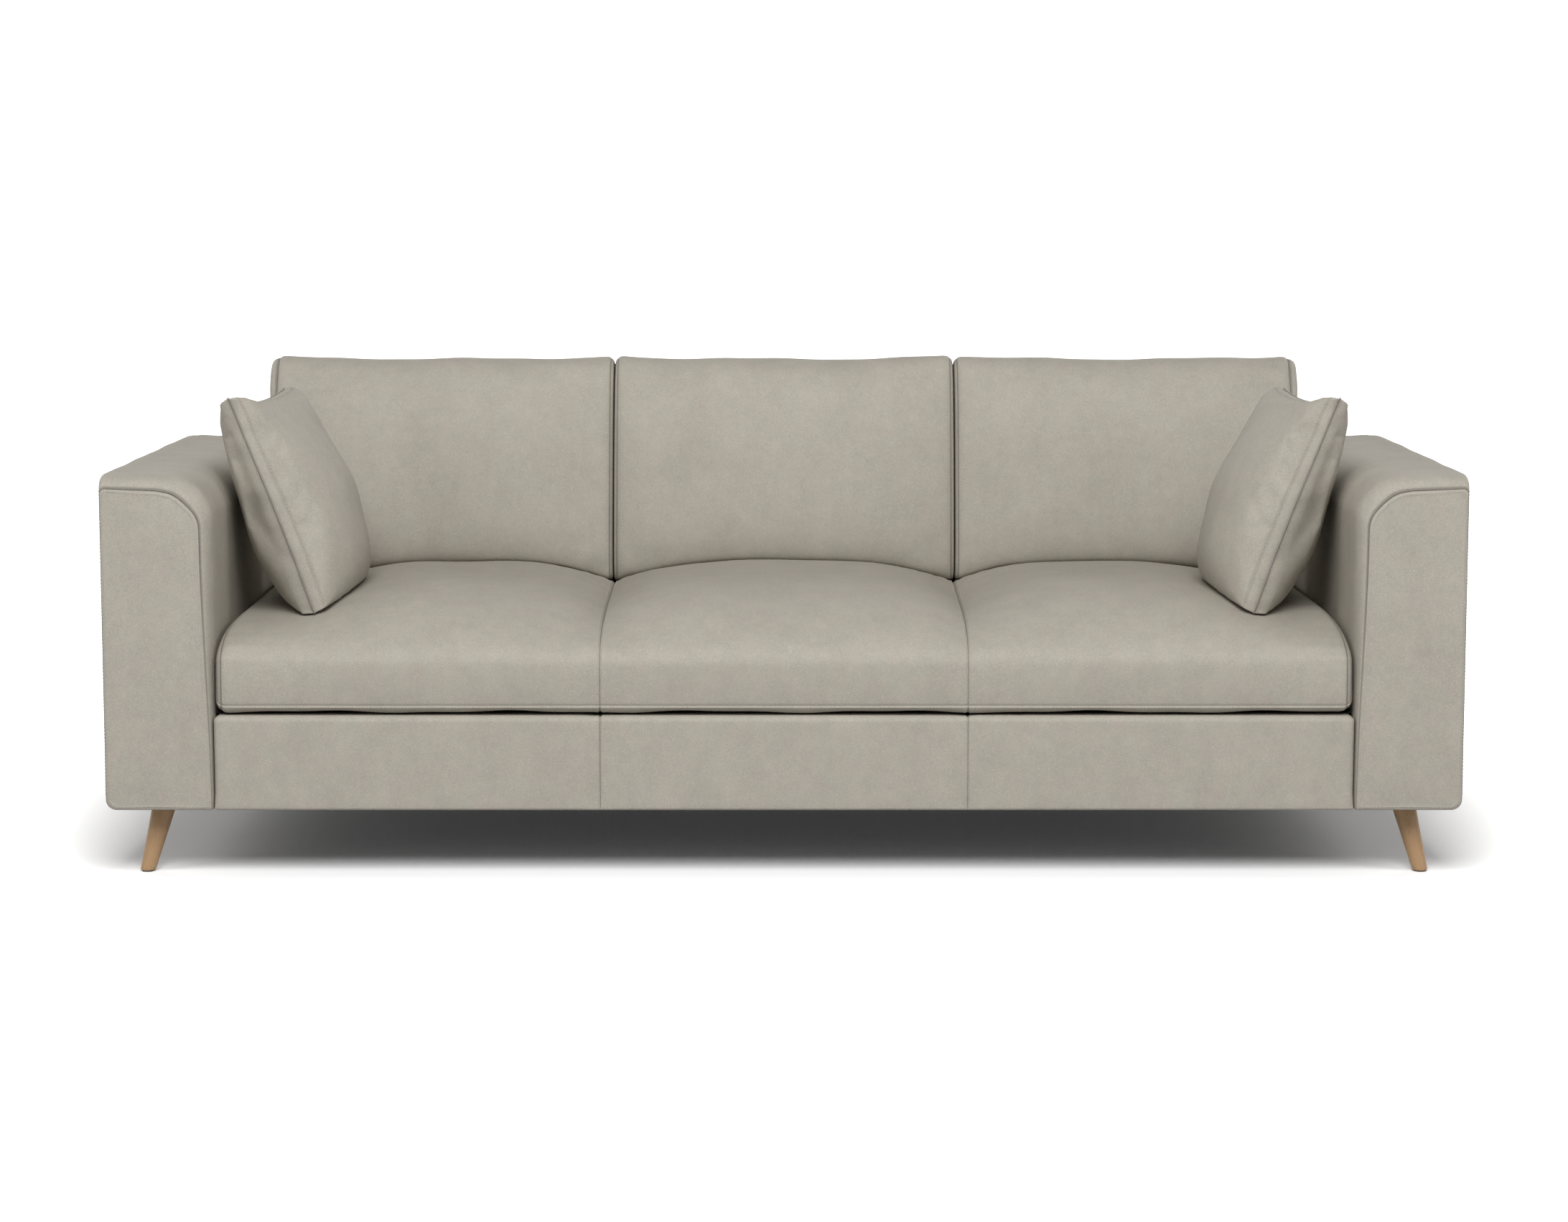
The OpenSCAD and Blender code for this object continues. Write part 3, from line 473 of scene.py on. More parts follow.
class Patchwork:
    """Collects grids of points into one mesh, with a seam value at each point: how much painted
    seam shade it gets.
    """

    def __init__(self):
        self.points, self.faces, self.seam, self.count = [], [], [], 0

    def grid(self, points, seam=0.0, closed=False):
        """Adds rows of points. A closed grid joins each row's last point to its first."""
        points = np.asarray(points, float)
        rows, columns = points.shape[:2]
        start = self.count
        self.points.append(points.reshape(-1, 3))
        self.seam.append(np.broadcast_to(seam, (rows, columns)).reshape(-1))
        for i in range(rows - 1):
            for j in range(columns if closed else columns - 1):
                k = (j + 1) % columns
                a, b = start + i * columns + j, start + i * columns + k
                self.faces.append((a, b, b + columns, a + columns))
        self.count += rows * columns

    def move(self, change):
        """Puts every grid's points through a function."""
        self.points = [change(points) for points in self.points]

    def build(self, name, finish="leather"):
        """The mesh as an object, with the points that meet merged and its faces outwards."""
        weld = 0.06 * MM
        points = np.concatenate(self.points)
        mesh = bpy.data.meshes.new(name)
        mesh.from_pydata([tuple(p) for p in points], [], self.faces)
        layer = mesh.attributes.new("seam", "FLOAT", "POINT")
        layer.data.foreach_set("value", np.concatenate(self.seam).astype(np.float32))
        form = bmesh.new()
        form.from_mesh(mesh)
        bmesh.ops.remove_doubles(form, verts=form.verts, dist=weld)
        bmesh.ops.dissolve_degenerate(form, edges=form.edges, dist=weld / 2)
        bmesh.ops.recalc_face_normals(form, faces=form.faces)
        form.to_mesh(mesh)
        form.free()
        for polygon in mesh.polygons:
            polygon.use_smooth = True
        mesh.materials.append(material(finish))
        return add_object(name, mesh)


def bell(value, width):
    """1 at zero, falling off on both sides of it over a width."""
    return np.exp(-((np.asarray(value) / width) ** 2))


def seam_groove(distance):
    """(sink, darkness of the painted seam shade) at a distance from a seam."""
    s, distance = sizes(), np.abs(distance)
    share = np.clip(1 - distance / s.seam_reach, 0, 1)
    # A low ridge stands beside it
    ridge = 0.0005 * bell(distance - s.seam_reach * 0.8, 0.002)
    return s.seam_depth * share**2 - ridge, bell(distance, SEAM_LINE)


def to_seam(x, seams):
    """Distance to the nearest seam, or a long way where there is none."""
    return min((abs(x - seam) for seam in seams), default=9.0)


def quarter(distance, length):
    """1 at an edge and 0 past a length from it, along a quarter of an ellipse."""
    share = np.clip(1 - np.asarray(distance) / length, 0, 1)
    return 1 - np.sqrt(np.clip(1 - share**2, 0, 1))


def smooth(value, low, high):
    """0 up to low and 1 from high, on a smooth curve between."""
    t = np.clip((np.asarray(value, float) - low) / (high - low), 0, 1)
    return t * t * (3 - 2 * t)


# Distances from a seam at which the leather has points
NEAR = np.array([0, 0.5, 1.2, 2.2, 3.6, 5.2, 7.2, 10, 14, 20, 29]) * MM
CLOSEST = 0.4 * MM


def stations(low, high, seams=(), step=0.022):
    """Places from low to high, close together at both ends and round each seam."""
    count = max(2, int((high - low) / step) + 1)
    places = set(np.round(np.linspace(low, high, count), 6))
    for seam in seams:
        places = {p for p in places if abs(p - seam) > NEAR[-1] * 0.9}
        places |= {round(seam + sign * d, 6) for d in NEAR for sign in (-1, 1)}
    places |= {round(v, 6) for d in NEAR for v in (low + d, high - d)}
    places = sorted(p for p in places if low - 1e-6 <= p <= high + 1e-6)
    kept = [places[0]]
    for p in places[1:]:
        if p - kept[-1] > CLOSEST:
            kept.append(p)
    kept[-1] = places[-1]
    return np.array(kept)


def ripple(*waves):
    """Sum of sine waves, each (value, wave length, phase, height)."""
    return sum(h * np.sin(2 * math.pi * v / length + phase) for v, length, phase, h in waves)


def gathers(distance, reach, start):
    """Strength of gathers beside a seam: none in it, most just off it, fading over reach."""
    return math.exp(-distance / reach) * (1 - math.exp(-distance / start))


def ride_leather(piece, body, *nodes):
    """Leather on a body, in place of the solids that it covers."""
    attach(piece, body)
    if nodes:
        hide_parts(*nodes)
    return piece


# ---------------------------------------------------------------- stitches


def stitch_tree():
    """Geometry nodes that lay thread stitches along the edges of a mesh.
    The attribute up points out of the leather."""
    tree = bpy.data.node_groups.new("Stitches", "GeometryNodeTree")
    face = tree.interface
    face.new_socket("Geometry", in_out="INPUT", socket_type="NodeSocketGeometry")
    for name, value in (("Spacing", 0.006), ("Length", 0.004), ("Width", 0.001)):
        face.new_socket(name, in_out="INPUT", socket_type="NodeSocketFloat").default_value = value
    face.new_socket("Thread", in_out="INPUT", socket_type="NodeSocketMaterial")
    face.new_socket("Geometry", in_out="OUTPUT", socket_type="NodeSocketGeometry")
    add = tree.nodes.new
    source, result = add("NodeGroupInput"), add("NodeGroupOutput")
    to_curve, resample = add("GeometryNodeMeshToCurve"), add("GeometryNodeResampleCurve")
    resample.mode = "LENGTH"
    tangent, up = add("GeometryNodeInputTangent"), add("GeometryNodeInputNamedAttribute")
    up.data_type, up.inputs["Name"].default_value = "FLOAT_VECTOR", "up"
    aim, roll = add("FunctionNodeAlignRotationToVector"), add("FunctionNodeAlignRotationToVector")
    aim.axis, roll.axis, roll.pivot_axis = "X", "Z", "X"
    ball, shape = add("GeometryNodeMeshUVSphere"), add("ShaderNodeCombineXYZ")
    ball.inputs["Segments"].default_value, ball.inputs["Rings"].default_value = 6, 4
    ball.inputs["Radius"].default_value = 0.5
    flat = add("ShaderNodeMath")
    flat.operation, flat.inputs[1].default_value = "MULTIPLY", 0.8
    scale, on_points = add("GeometryNodeTransform"), add("GeometryNodeInstanceOnPoints")
    realize, paint = add("GeometryNodeRealizeInstances"), add("GeometryNodeSetMaterial")
    soften = add("GeometryNodeSetShadeSmooth")
    for node, out, target, into in (
        (source, "Geometry", to_curve, "Mesh"),
        (to_curve, "Curve", resample, "Curve"),
        (source, "Spacing", resample, "Length"),
        (tangent, "Tangent", aim, "Vector"),
        (aim, "Rotation", roll, "Rotation"),
        (up, "Attribute", roll, "Vector"),
        (source, "Length", shape, "X"),
        (source, "Width", shape, "Y"),
        (source, "Width", flat, 0),
        (flat, 0, shape, "Z"),
        (ball, "Mesh", scale, "Geometry"),
        (shape, "Vector", scale, "Scale"),
        (resample, "Curve", on_points, "Points"),
        (scale, "Geometry", on_points, "Instance"),
        (roll, "Rotation", on_points, "Rotation"),
        (on_points, "Instances", realize, "Geometry"),
        (realize, "Geometry", soften, "Geometry"),
        (soften, "Geometry", paint, "Geometry"),
        (source, "Thread", paint, "Material"),
        (paint, "Geometry", result, "Geometry"),
    ):
        tree.links.new(node.outputs[out], target.inputs[into])
    return tree


def sew(name, body, paths):
    """Stitches along paths, each (points, outward directions), as one mesh on a body."""
    points, edges, ups = [], [], []
    stand_off = 0.1 * MM
    for line, out in paths:
        start = len(points)
        line, out = np.asarray(line, float), unit(np.asarray(out, float))
        points += [tuple(p) for p in line + out * stand_off]
        ups += [tuple(v) for v in out]
        # A long step is where the path leaves the leather, so no thread crosses it
        step = np.linalg.norm(np.diff(line, axis=0), axis=1)
        joined = np.flatnonzero(step < 3 * np.median(step) + 0.01)
        edges += [(start + i, start + i + 1) for i in joined.tolist()]
    mesh = bpy.data.meshes.new(name + "_path")
    mesh.from_pydata(points, edges, [])
    layer = mesh.attributes.new("up", "FLOAT_VECTOR", "POINT")
    layer.data.foreach_set("vector", np.array(ups, np.float32).ravel())
    guide = add_object(name + "_path", mesh)
    tree = bpy.data.node_groups.get("Stitches") or stitch_tree()
    modifier = guide.modifiers.new("Stitches", "NODES")
    modifier.node_group = tree
    s = sizes()
    values = {
        "Spacing": s.stitch_pitch,
        "Length": s.stitch_length,
        "Width": s.stitch_width,
        "Thread": material("thread"),
    }
    for item in tree.interface.items_tree:
        if item.in_out == "INPUT" and item.name in values:
            modifier[item.identifier] = values[item.name]
    graph = bpy.context.evaluated_depsgraph_get()
    done = bpy.data.meshes.new_from_object(guide.evaluated_get(graph), depsgraph=graph)
    done.name = name
    bpy.data.objects.remove(guide)
    piece = add_object(name, done)
    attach(piece, body)


def surface_tree(surface):
    """A mesh made ready for rays."""
    return BVHTree.FromObject(surface, bpy.context.evaluated_depsgraph_get())


def on_surface(surface, points, outward):
    """Points pushed onto a mesh against its outward direction, with its normals there."""
    tree, way = surface_tree(surface), Vector(outward).normalized()
    start, reach = 0.08, 0.2
    line, out = [], []
    for point in points:
        hit = tree.ray_cast(Vector(point) + way * start, -way, reach)
        if hit[0] is not None:
            line.append(hit[0])
            out.append(hit[1] if hit[1].dot(way) > 0 else -hit[1])
    return np.array(line), np.array(out)


# ---------------------------------------------------------------- arms


def arm_loop(width, low, high, outer, top, inner, bottom, roll):
    """Outline of an arm from the front, (across, up), with across counted from its outer face.
    outer, top, inner and bottom are how far the outline stays inside the arm's box."""
    s = sizes()

    def turn(cx, cz, rx, rz, start, end, steps):
        a = np.radians(np.linspace(start, end, steps))
        return np.stack([cx + rx * np.cos(a), cz + rz * np.sin(a)], 1)

    def straight(a, b, steps):
        t = np.linspace(0, 1, steps + 2)[1:-1, None]
        return np.array(a) * (1 - t) + np.array(b) * t

    # Radii at the outer foot, at the inner foot and along the outer top edge
    foot, toe, edge = 0.020 - outer * 0.6, 0.004, 0.009
    fall = s.arm_fall / width
    right, floor = width - inner, low + bottom
    roll_x = right - roll[0]
    roll_z = high - fall * roll_x - top - roll[1]
    edge_z = high - fall * (outer + edge) - top - edge
    return np.concatenate([
        turn(outer + foot, floor + foot, foot, foot, 180, 270, 9),
        straight((outer + foot, floor), (right - toe, floor), 10),
        turn(right - toe, floor + toe, toe, toe, -90, 0, 5),
        straight((right, floor + toe), (right, roll_z), 34),
        turn(roll_x, roll_z, roll[0], roll[1], 0, 90, 24),
        straight((roll_x, roll_z + roll[1]), (outer + edge, edge_z + edge), 10),
        turn(outer + edge, edge_z, edge, edge, 90, 180, 8),
        straight((outer, edge_z), (outer, floor + foot), 40),
    ])


def arm_point(side, across, y, z):
    """Points on the left or right arm, with across counted from its outer face."""
    across, y, z = np.broadcast_arrays(across, y, z)
    low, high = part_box(f"arm_cover_{side}")
    x = low.x + across if side == "left" else high.x - across
    return np.stack([x, y, z], -1)


def build_arm(side):
    """One arm: a long skin of loops from the front seam to the back, and its front panel."""
    s = sizes()
    low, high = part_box(f"arm_cover_{side}")
    width, front, back = high.x - low.x, low.y, high.y
    length, bulge = back - front, s.arm_bulge
    # The inner side of the front seam leans away from the seat towards the top
    seam_loop = arm_loop(
        width, low.z, high.z, outer=0.0035, top=0.0150, inner=0.0045, bottom=0.0015,
        roll=(0.104, 0.068),
    )
    rise = (seam_loop[:, 1] - low.z) / (high.z - low.z)
    leaning = smooth(rise, 0, 0.85) * smooth(seam_loop[:, 0], width * 0.6, width * 0.9)
    seam_loop[:, 0] -= 0.0135 * leaning
    rest_loop = arm_loop(width, low.z, high.z, outer=0, top=0, inner=0, bottom=0, roll=s.arm_roll)
    middle = np.array([width / 2, (low.z + high.z) / 2])
    near_front = np.array([0, 0.4, 1, 1.8, 3, 4.6, 6.6, 9, 12.5, 17, 23, 30, 38, 46, 58, 75]) * MM
    near_back = np.array([22, 15, 10, 6.5, 4, 2, 0.8, 0]) * MM
    depths = np.concatenate([near_front, np.linspace(0.1, length - 0.03, 26), length - near_back])
    patch = Patchwork()
    rows, dark = [], []
    for depth in depths:
        share = quarter(depth, bulge)
        loop = seam_loop * share + rest_loop * (1 - share)
        rear = quarter(length - depth, 0.012)
        loop = loop + unit(middle - loop) * 0.005 * rear
        top = smooth(loop[:, 1], high.z - 0.06, high.z - 0.01)
        inside = smooth(loop[:, 0], width * 0.5, width * 0.9)
        inside = inside * smooth(loop[:, 1], low.z + 0.1, low.z + 0.3)
        # The top is crowned across, and slack waves run along the top and the inner face
        dome = top * (0.0085 + 0.003 * np.sin(np.pi * np.clip(loop[:, 0] / width, 0, 1)))
        dome = dome * (1 - share) * smooth(length - depth, 0, 0.16)
        wave = ripple(
            (depth, 0.31, loop[:, 0] * 14, 0.0005),
            (depth, 0.17, 1.7 + loop[:, 1] * 9, 0.0003),
        )
        wave = wave * (top + inside)
        loop = loop + np.stack([wave * inside, dome + wave * top], 1)
        rows.append(arm_point(side, loop[:, 0], front + s.seam_depth + depth, loop[:, 1]))
        # Painted shade along the front seam
        dark.append(np.full(len(loop), bell(depth, SEAM_LINE)))
    patch.grid(rows, dark, closed=True)
    # Front panel: rings from the seam towards a line down the middle
    spine_low, spine_high = low.z + width / 2, high.z - width / 2 - 0.01
    heights = np.clip(seam_loop[:, 1], spine_low, spine_high)
    core = np.stack([np.full(len(seam_loop), width / 2), heights], 1)
    reach = np.linalg.norm(core - seam_loop, axis=1)
    rings = np.array([0, 0.7, 1.5, 2.6, 4.2, 6.2, 8, 10, 13, 19, 28, 40, 56, 74, 95]) * MM
    row_at, row_width = 0.0056, 0.0012
    rows, dark = [], []
    for inward in rings:
        share = min(inward / rings[-1], 1.0)
        loop = seam_loop + (core - seam_loop) * share
        distance = share * reach
        # dip sinks the seam and black is its painted shade
        dip, black = seam_groove(distance)
        puff = 0.0016 * smooth(distance, 0.004, 0.05)
        # The leather is raised beside the seam and pressed in under the stitches
        ridge = 0.0006 * bell(distance - 0.0030, row_width)
        ridge = ridge - 0.0004 * bell(distance - row_at, row_width)
        rows.append(arm_point(side, loop[:, 0], front + dip - puff + ridge, loop[:, 1]))
        dark.append(black)
    patch.grid(rows, dark, closed=True)
    piece = patch.build(f"arm_leather_{side}")
    ride_leather(
        piece, "frame",
        f"arm_cover_{side}", f"arm_pad_{side}", f"arm_front_pad_{side}", f"arm_outer_pad_{side}",
    )
    # A topstitch inside the front seam, and one row down the outer edge
    loop = seam_loop + (core - seam_loop) * (row_at / reach)[:, None]
    loop = np.concatenate([loop, loop[:1]])
    around = on_surface(piece, arm_point(side, loop[:, 0], front, loop[:, 1]), (0, -1, 0))
    heights = np.linspace(low.z + 0.03, high.z - 0.02, 60)
    outward = (-1 if side == "left" else 1, 0, 0)
    down = on_surface(piece, arm_point(side, 0.0, front + 0.006, heights), outward)
    sew(f"arm_stitches_{side}", "frame", [around, down])


class SOFA_OT_arms(bpy.types.Operator):
    """Padded arms with a sewn front panel"""

    bl_idname = "sofa.arms"
    bl_label = "Arms"

    def execute(self, context):
        for side in SIDES:
            build_arm(side)
        return {"FINISHED"}


# ---------------------------------------------------------------- border and back


def strip(x_low, x_high, profile, seams, end_round, rounding):
    """Leather over a profile in depth and height that runs along the width, with seams across it.
    Over end_round at each end the profile moves inwards by rounding.
    Gives the leather and the profile at its end."""
    tangent = np.gradient(profile, axis=0)
    normal = unit(np.stack([-tangent[:, 1], tangent[:, 0]], 1))
    height = profile[:, 1]
    bottom = height.min()
    rows, dark = [], []
    for x in stations(x_low, x_high, seams):
        distance = to_seam(x, seams)
        # Painted shade in the seams' grooves
        dip, black = seam_groove(distance)
        puff = 0.0005 * smooth(distance, 0.004, 0.09)
        end = quarter(min(x - x_low, x_high - x), end_round) * rounding
        end = end * (0.2 + 0.8 * smooth(height, bottom, bottom + 0.030))
        # Small waves beside the seams, and the hem stays where it is tacked
        wave = ripple((x, 0.093, height * 40, 0.0005), (x, 0.041, height * 23 + 2, 0.00025))
        wave = wave * math.exp(-distance / 0.05) * 1.6
        hold = smooth(height, bottom, bottom + 0.006)
        line = profile - normal * ((dip - puff + wave) * hold + end)[:, None]
        rows.append(at_x(x, line))
        dark.append(np.full(len(line), black))
    patch = Patchwork()
    patch.grid(rows, dark)
    return patch, rows[0][:, 1:]


def bend(centre, radius, start, end, steps=10):
    """Points of an arc between two angles in degrees."""
    a = np.radians(np.linspace(start, end, steps))
    return np.stack([centre[0] + radius * np.cos(a), centre[1] + radius * np.sin(a)], 1)


def line_to(a, b, step=0.012):
    """Points of a straight line, without its first."""
    count = max(2, int(math.dist(a, b) / step))
    t = np.linspace(0, 1, count + 1)[1:, None]
    return np.array(a) * (1 - t) + np.array(b) * t


def front_row(piece, xs, front, heights):
    """A row of stitches on a front face, at places along the width and heights."""
    points = np.stack(np.broadcast_arrays(xs, front, heights), -1)
    return on_surface(piece, points, (0, -1, 0))


class SOFA_OT_border(bpy.types.Operator):
    """Leather border along the front of the seat"""

    bl_idname = "sofa.border"
    bl_label = "Front border"

    def execute(self, context):
        s = sizes()
        low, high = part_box("front_border_cover")
        # The seat cushion presses its top down a little
        r, hem, tucked, top = 0.011, 0.005, 0.018, high.z - 0.0022
        profile = np.concatenate([
            [(low.y + tucked, low.z)],
            line_to((low.y + tucked, low.z), (low.y + hem, low.z)),
            bend((low.y + hem, low.z + hem), hem, 270, 180)[1:],
            line_to((low.y, low.z + hem), (low.y, top - r)),
            bend((low.y + r, top - r), r, 180, 90, 14)[1:],
            line_to((low.y + r, top), (high.y, top)),
        ])
        seams = (-s.seam_at, s.seam_at)
        patch, _ = strip(low.x, high.x, profile, seams, end_round=0.014, rounding=0.010)
        piece = patch.build("front_border_leather")
        ride_leather(piece, "frame", "front_border_cover", "front_border_pad")
        heights = np.linspace(low.z + 0.008, high.z - 0.004, 40)
        rows = [seam + away for seam in seams for away in (-0.0048, 0.0048)]
        sew("border_stitches", "frame", [front_row(piece, x, low.y, heights) for x in rows])
        return {"FINISHED"}


class SOFA_OT_back(bpy.types.Operator):
    """Inside back, its top, and the outside back"""

    bl_idname = "sofa.back"
    bl_label = "Back"

    def execute(self, context):
        self.inside()
        self.outside()
        return {"FINISHED"}

    def inside(self):
        """The leaning face and the top, with two seams, closed at both ends"""
        low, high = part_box("back_cover")
        lean, r = sizes().back_lean, 0.024
        shoulder = (low.y + (high.z - low.z - r) * math.tan(lean), high.z - r)
        corner = (shoulder[0] + r / math.cos(lean), high.z - r)
        profile = np.concatenate([
            [(low.y, low.z)],
            line_to((low.y, low.z), shoulder),
            bend(corner, r, 180 - math.degrees(lean), 90, 12)[1:],
            line_to((corner[0], high.z), (high.y, high.z)),
        ])
        thirds = (low.x + (high.x - low.x) / 3, high.x - (high.x - low.x) / 3)
        patch, inner = strip(low.x, high.x, profile, thirds, end_round=0.016, rounding=0.008)
        # Ends that close the back beside the arms
        target = np.stack([np.full(len(profile), high.y), inner[:, 1]], 1)
        shares = np.linspace(0, 1, 9)
        for x in (low.x, high.x):
            patch.grid([at_x(x, inner * (1 - share) + target * share) for share in shares])
        piece = patch.build("inside_back_leather")
        ride_leather(piece, "frame", "back_cover", "back_pad")

    def outside(self):
        """One flat panel over the arms' backs and the frame, sewn along its edge"""
        s = sizes()
        low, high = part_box("outside_back_cover")
        arm_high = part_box("arm_cover_left")[1]
        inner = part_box("back_cover")[0].x
        # Radii at the feet, over the arms, where the back rises and at its top corners
        foot, over, rising, corner = 0.020, 0.012, 0.012, 0.008
        shoulder, fallen, top = arm_high.z, arm_high.z - s.arm_fall * 0.7, high.z
        half = [
            bend((high.x - foot, low.z + foot), foot, 270, 360, 9),
            line_to((high.x, low.z + foot), (high.x, shoulder - over), 0.03),
            bend((high.x - over, shoulder - over), over, 0, 90, 6),
            line_to((high.x - over, shoulder), (-inner + s.arm_roll[0], fallen), 0.02),
            line_to((-inner, shoulder + 0.02), (-inner, top - corner), 0.02),
            bend((-inner - corner, top - corner), corner, 0, 90, 7),
            line_to((-inner - corner, top), (0, top), 0.06),
        ]
        if top > shoulder + 0.03:
            half.insert(4, bend((-inner + rising, shoulder + rising / 2), rising, 270, 180, 6))
        right = np.concatenate(half)
        left = right[::-1][1:] * (-1, 1)
        bottom = line_to((low.x + foot, low.z), (high.x - foot, low.z), 0.06)[:-1]
        loop = np.concatenate([right, left, bottom])
        across = np.clip(loop[:, 0], low.x + 0.25, high.x - 0.25) * 0.98
        spine = np.stack([across, np.full(len(loop), (low.z + shoulder) / 2)], 1)
        reach = np.linalg.norm(spine - loop, axis=1)

        def inwards(distance):
            return loop + (spine - loop) * np.clip(distance / reach, 0, 1)[:, None]

        rows, dark = [], []

        def layer(outline, y, shade=0.0):
            rows.append(np.insert(outline, 1, y, axis=1))
            dark.append(np.full(len(outline), shade))

        # A hem turned in behind the arms, the sewn edge, and the flat panel up to the middle; the
        # hem and the sewn edge get painted shade
        edge_y, row_at = arm_high.y, 0.010
        layer(inwards(0.004), edge_y - 0.012, 0.5)
        layer(loop, edge_y + 0.0002, 0.35)
        for inward in np.array([0.5, 1.5, 3, 5, 8, 10, 12, 16, 24, 40, 80, 160]) * MM:
            rise = (high.y - edge_y) * (1 - quarter(inward, 0.010))
            layer(inwards(inward), edge_y + rise - 0.0008 * bell(inward - row_at, 0.0012))
        layer(spine, high.y)
        patch = Patchwork()
        patch.grid(rows, dark, closed=True)
        piece = patch.build("outside_back_leather")
        ride_leather(piece, "frame", "outside_back_cover", "outside_back_pad")
        path = inwards(row_at)
        points = np.insert(np.concatenate([path, path[:1]]), 1, high.y, axis=1)
        sew("outside_back_stitches", "frame", [on_surface(piece, points, (0, 1, 0))])


# ---------------------------------------------------------------- boxed cushions


def signed_power(value, exponent):
    """A power that keeps its value's sign."""
    return np.sign(value) * np.abs(value) ** exponent


def section_angles(count):
    """Angles round a cushion's section, closer together at its corners."""
    a = np.linspace(0, 2 * math.pi, count, endpoint=False)
    return a - 0.18 * np.sin(4 * a) / 2


def boxed_cushion(half_w, ring, seams, wave, gusset, skew=0.0, bottom_seam=None, extra=None):
    """A cushion whose leather wraps round its front, top, back and underside, with a gusset sewn in
    at each end. ring(x) gives the section, (count, 2), at a place along the width, and
    wave(x, section) adds its folds. gusset is (how far the end gussets swell past their seams, over
    what width), and extra(sign, section) is more of that swell. skew moves the back ends of the
    seams away from the middle, and bottom_seam is the height of a seam along the front."""
    # The leather rounds in by inset over the last stretch before each end seam
    stretch, inset, seam_x = 0.014, 0.005, half_w - gusset[0]
    patch = Patchwork()
    rows, dark = [], []
    for x in stations(-seam_x, seam_x, seams, 0.016):
        section = ring(x)
        tangent = np.roll(section, -1, 0) - np.roll(section, 1, 0)
        out = unit(np.stack([tangent[:, 1], -tangent[:, 0]], 1))
        end, distance = seam_x - abs(x), to_seam(x, seams)
        along = (section[:, 0] - section[:, 0].min()) / np.ptp(section[:, 0])
        moved = x + skew * np.sign(x) * along * bell(distance, 0.2)
        dip, black = seam_groove(distance)
        push = -dip - inset * quarter(end, stretch) + wave(x, section)
        # Painted shade in the seams across the cushion and at its end seams
        shade = np.full(len(section), max(black, bell(end, SEAM_LINE)))
        if bottom_seam is not None:
            # The back half counts as far from it
            gap = np.abs(section[:, 1] - bottom_seam) + np.where(section[:, 0] > 0, 1, 0)
            # Painted shade along the bottom seam too
            sunk, seam_shade = seam_groove(gap)
            push = push - sunk * 0.8
            shade = np.maximum(shade, seam_shade)
        section = section + out * push[:, None]
        rows.append(at_x(moved, section))
        dark.append(shade)
    patch.grid(rows, dark, closed=True)
    # Gussets: rings from each end seam towards a line down the middle
    rings = np.array([0, 0.5, 1.2, 2.2, 3.6, 5.2, 7.2, 10, 14, 20, 28, 38, 52, 70, 90]) * MM
    for sign, rim in ((-1, rows[0]), (1, rows[-1])):
        flat = rim[:, 1:]
        middle, span = (flat.max(0) + flat.min(0)) / 2, np.ptp(flat, axis=0)
        reach, axis = abs(span[0] - span[1]) / 2, int(span[1] > span[0])
        spine = np.tile(middle, (len(flat), 1))
        spine[:, axis] = np.clip(flat[:, axis], middle[axis] - reach, middle[axis] + reach)
        width = np.linalg.norm(spine - flat, axis=1)
        loops, seam_shade = [], []
        for inward in rings:
            share = min(inward / 0.085, 1.0)
            loop = flat + (spine - flat) * share
            distance = share * width
            swell = gusset[0] + (0 if extra is None else extra(sign, loop))
            # Painted shade in the end seam's groove
            dip, black = seam_groove(distance)
            dome = 1 - quarter(distance, gusset[1])
            loops.append(at_x(sign * (seam_x + swell * dome - 0.3 * dip * (share > 0)), loop))
            seam_shade.append(black)
        patch.grid(loops, seam_shade, closed=True)
    return patch


def superellipse(half, square, count=150):
    """Depth and height of a section, and the cosine and sine of its angles.
    square is the squareness of its quarters: top back, top front, bottom front, bottom back."""
    a = section_angles(count)
    c, sn = np.cos(a), np.sin(a)
    n = np.array(square)[np.clip((np.degrees(a) // 90).astype(int), 0, 3)]
    return half[0] * signed_power(c, 2 / n), half[1] * signed_power(sn, 2 / n), c, sn


def rest_on(points, surface, gap=0.0012, soft=0.004):
    """Lifts points that lie under a surface onto it, without turning them over"""
    tree, points = surface_tree(surface), np.array(points, float)
    above, reach = 0.75, 0.6
    for i in np.nonzero(points[:, 2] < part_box("seat_cushion_cover")[1].z + 0.02)[0]:
        start = Vector((points[i, 0], points[i, 1], above))
        hit = tree.ray_cast(start, Vector((0, 0, -1)), reach)[0]
        if hit is not None:
            height = (points[i, 2] - hit.z - gap) / soft
            if height < 12:
                points[i, 2] = hit.z + gap + soft * math.log1p(math.exp(height))
    return points


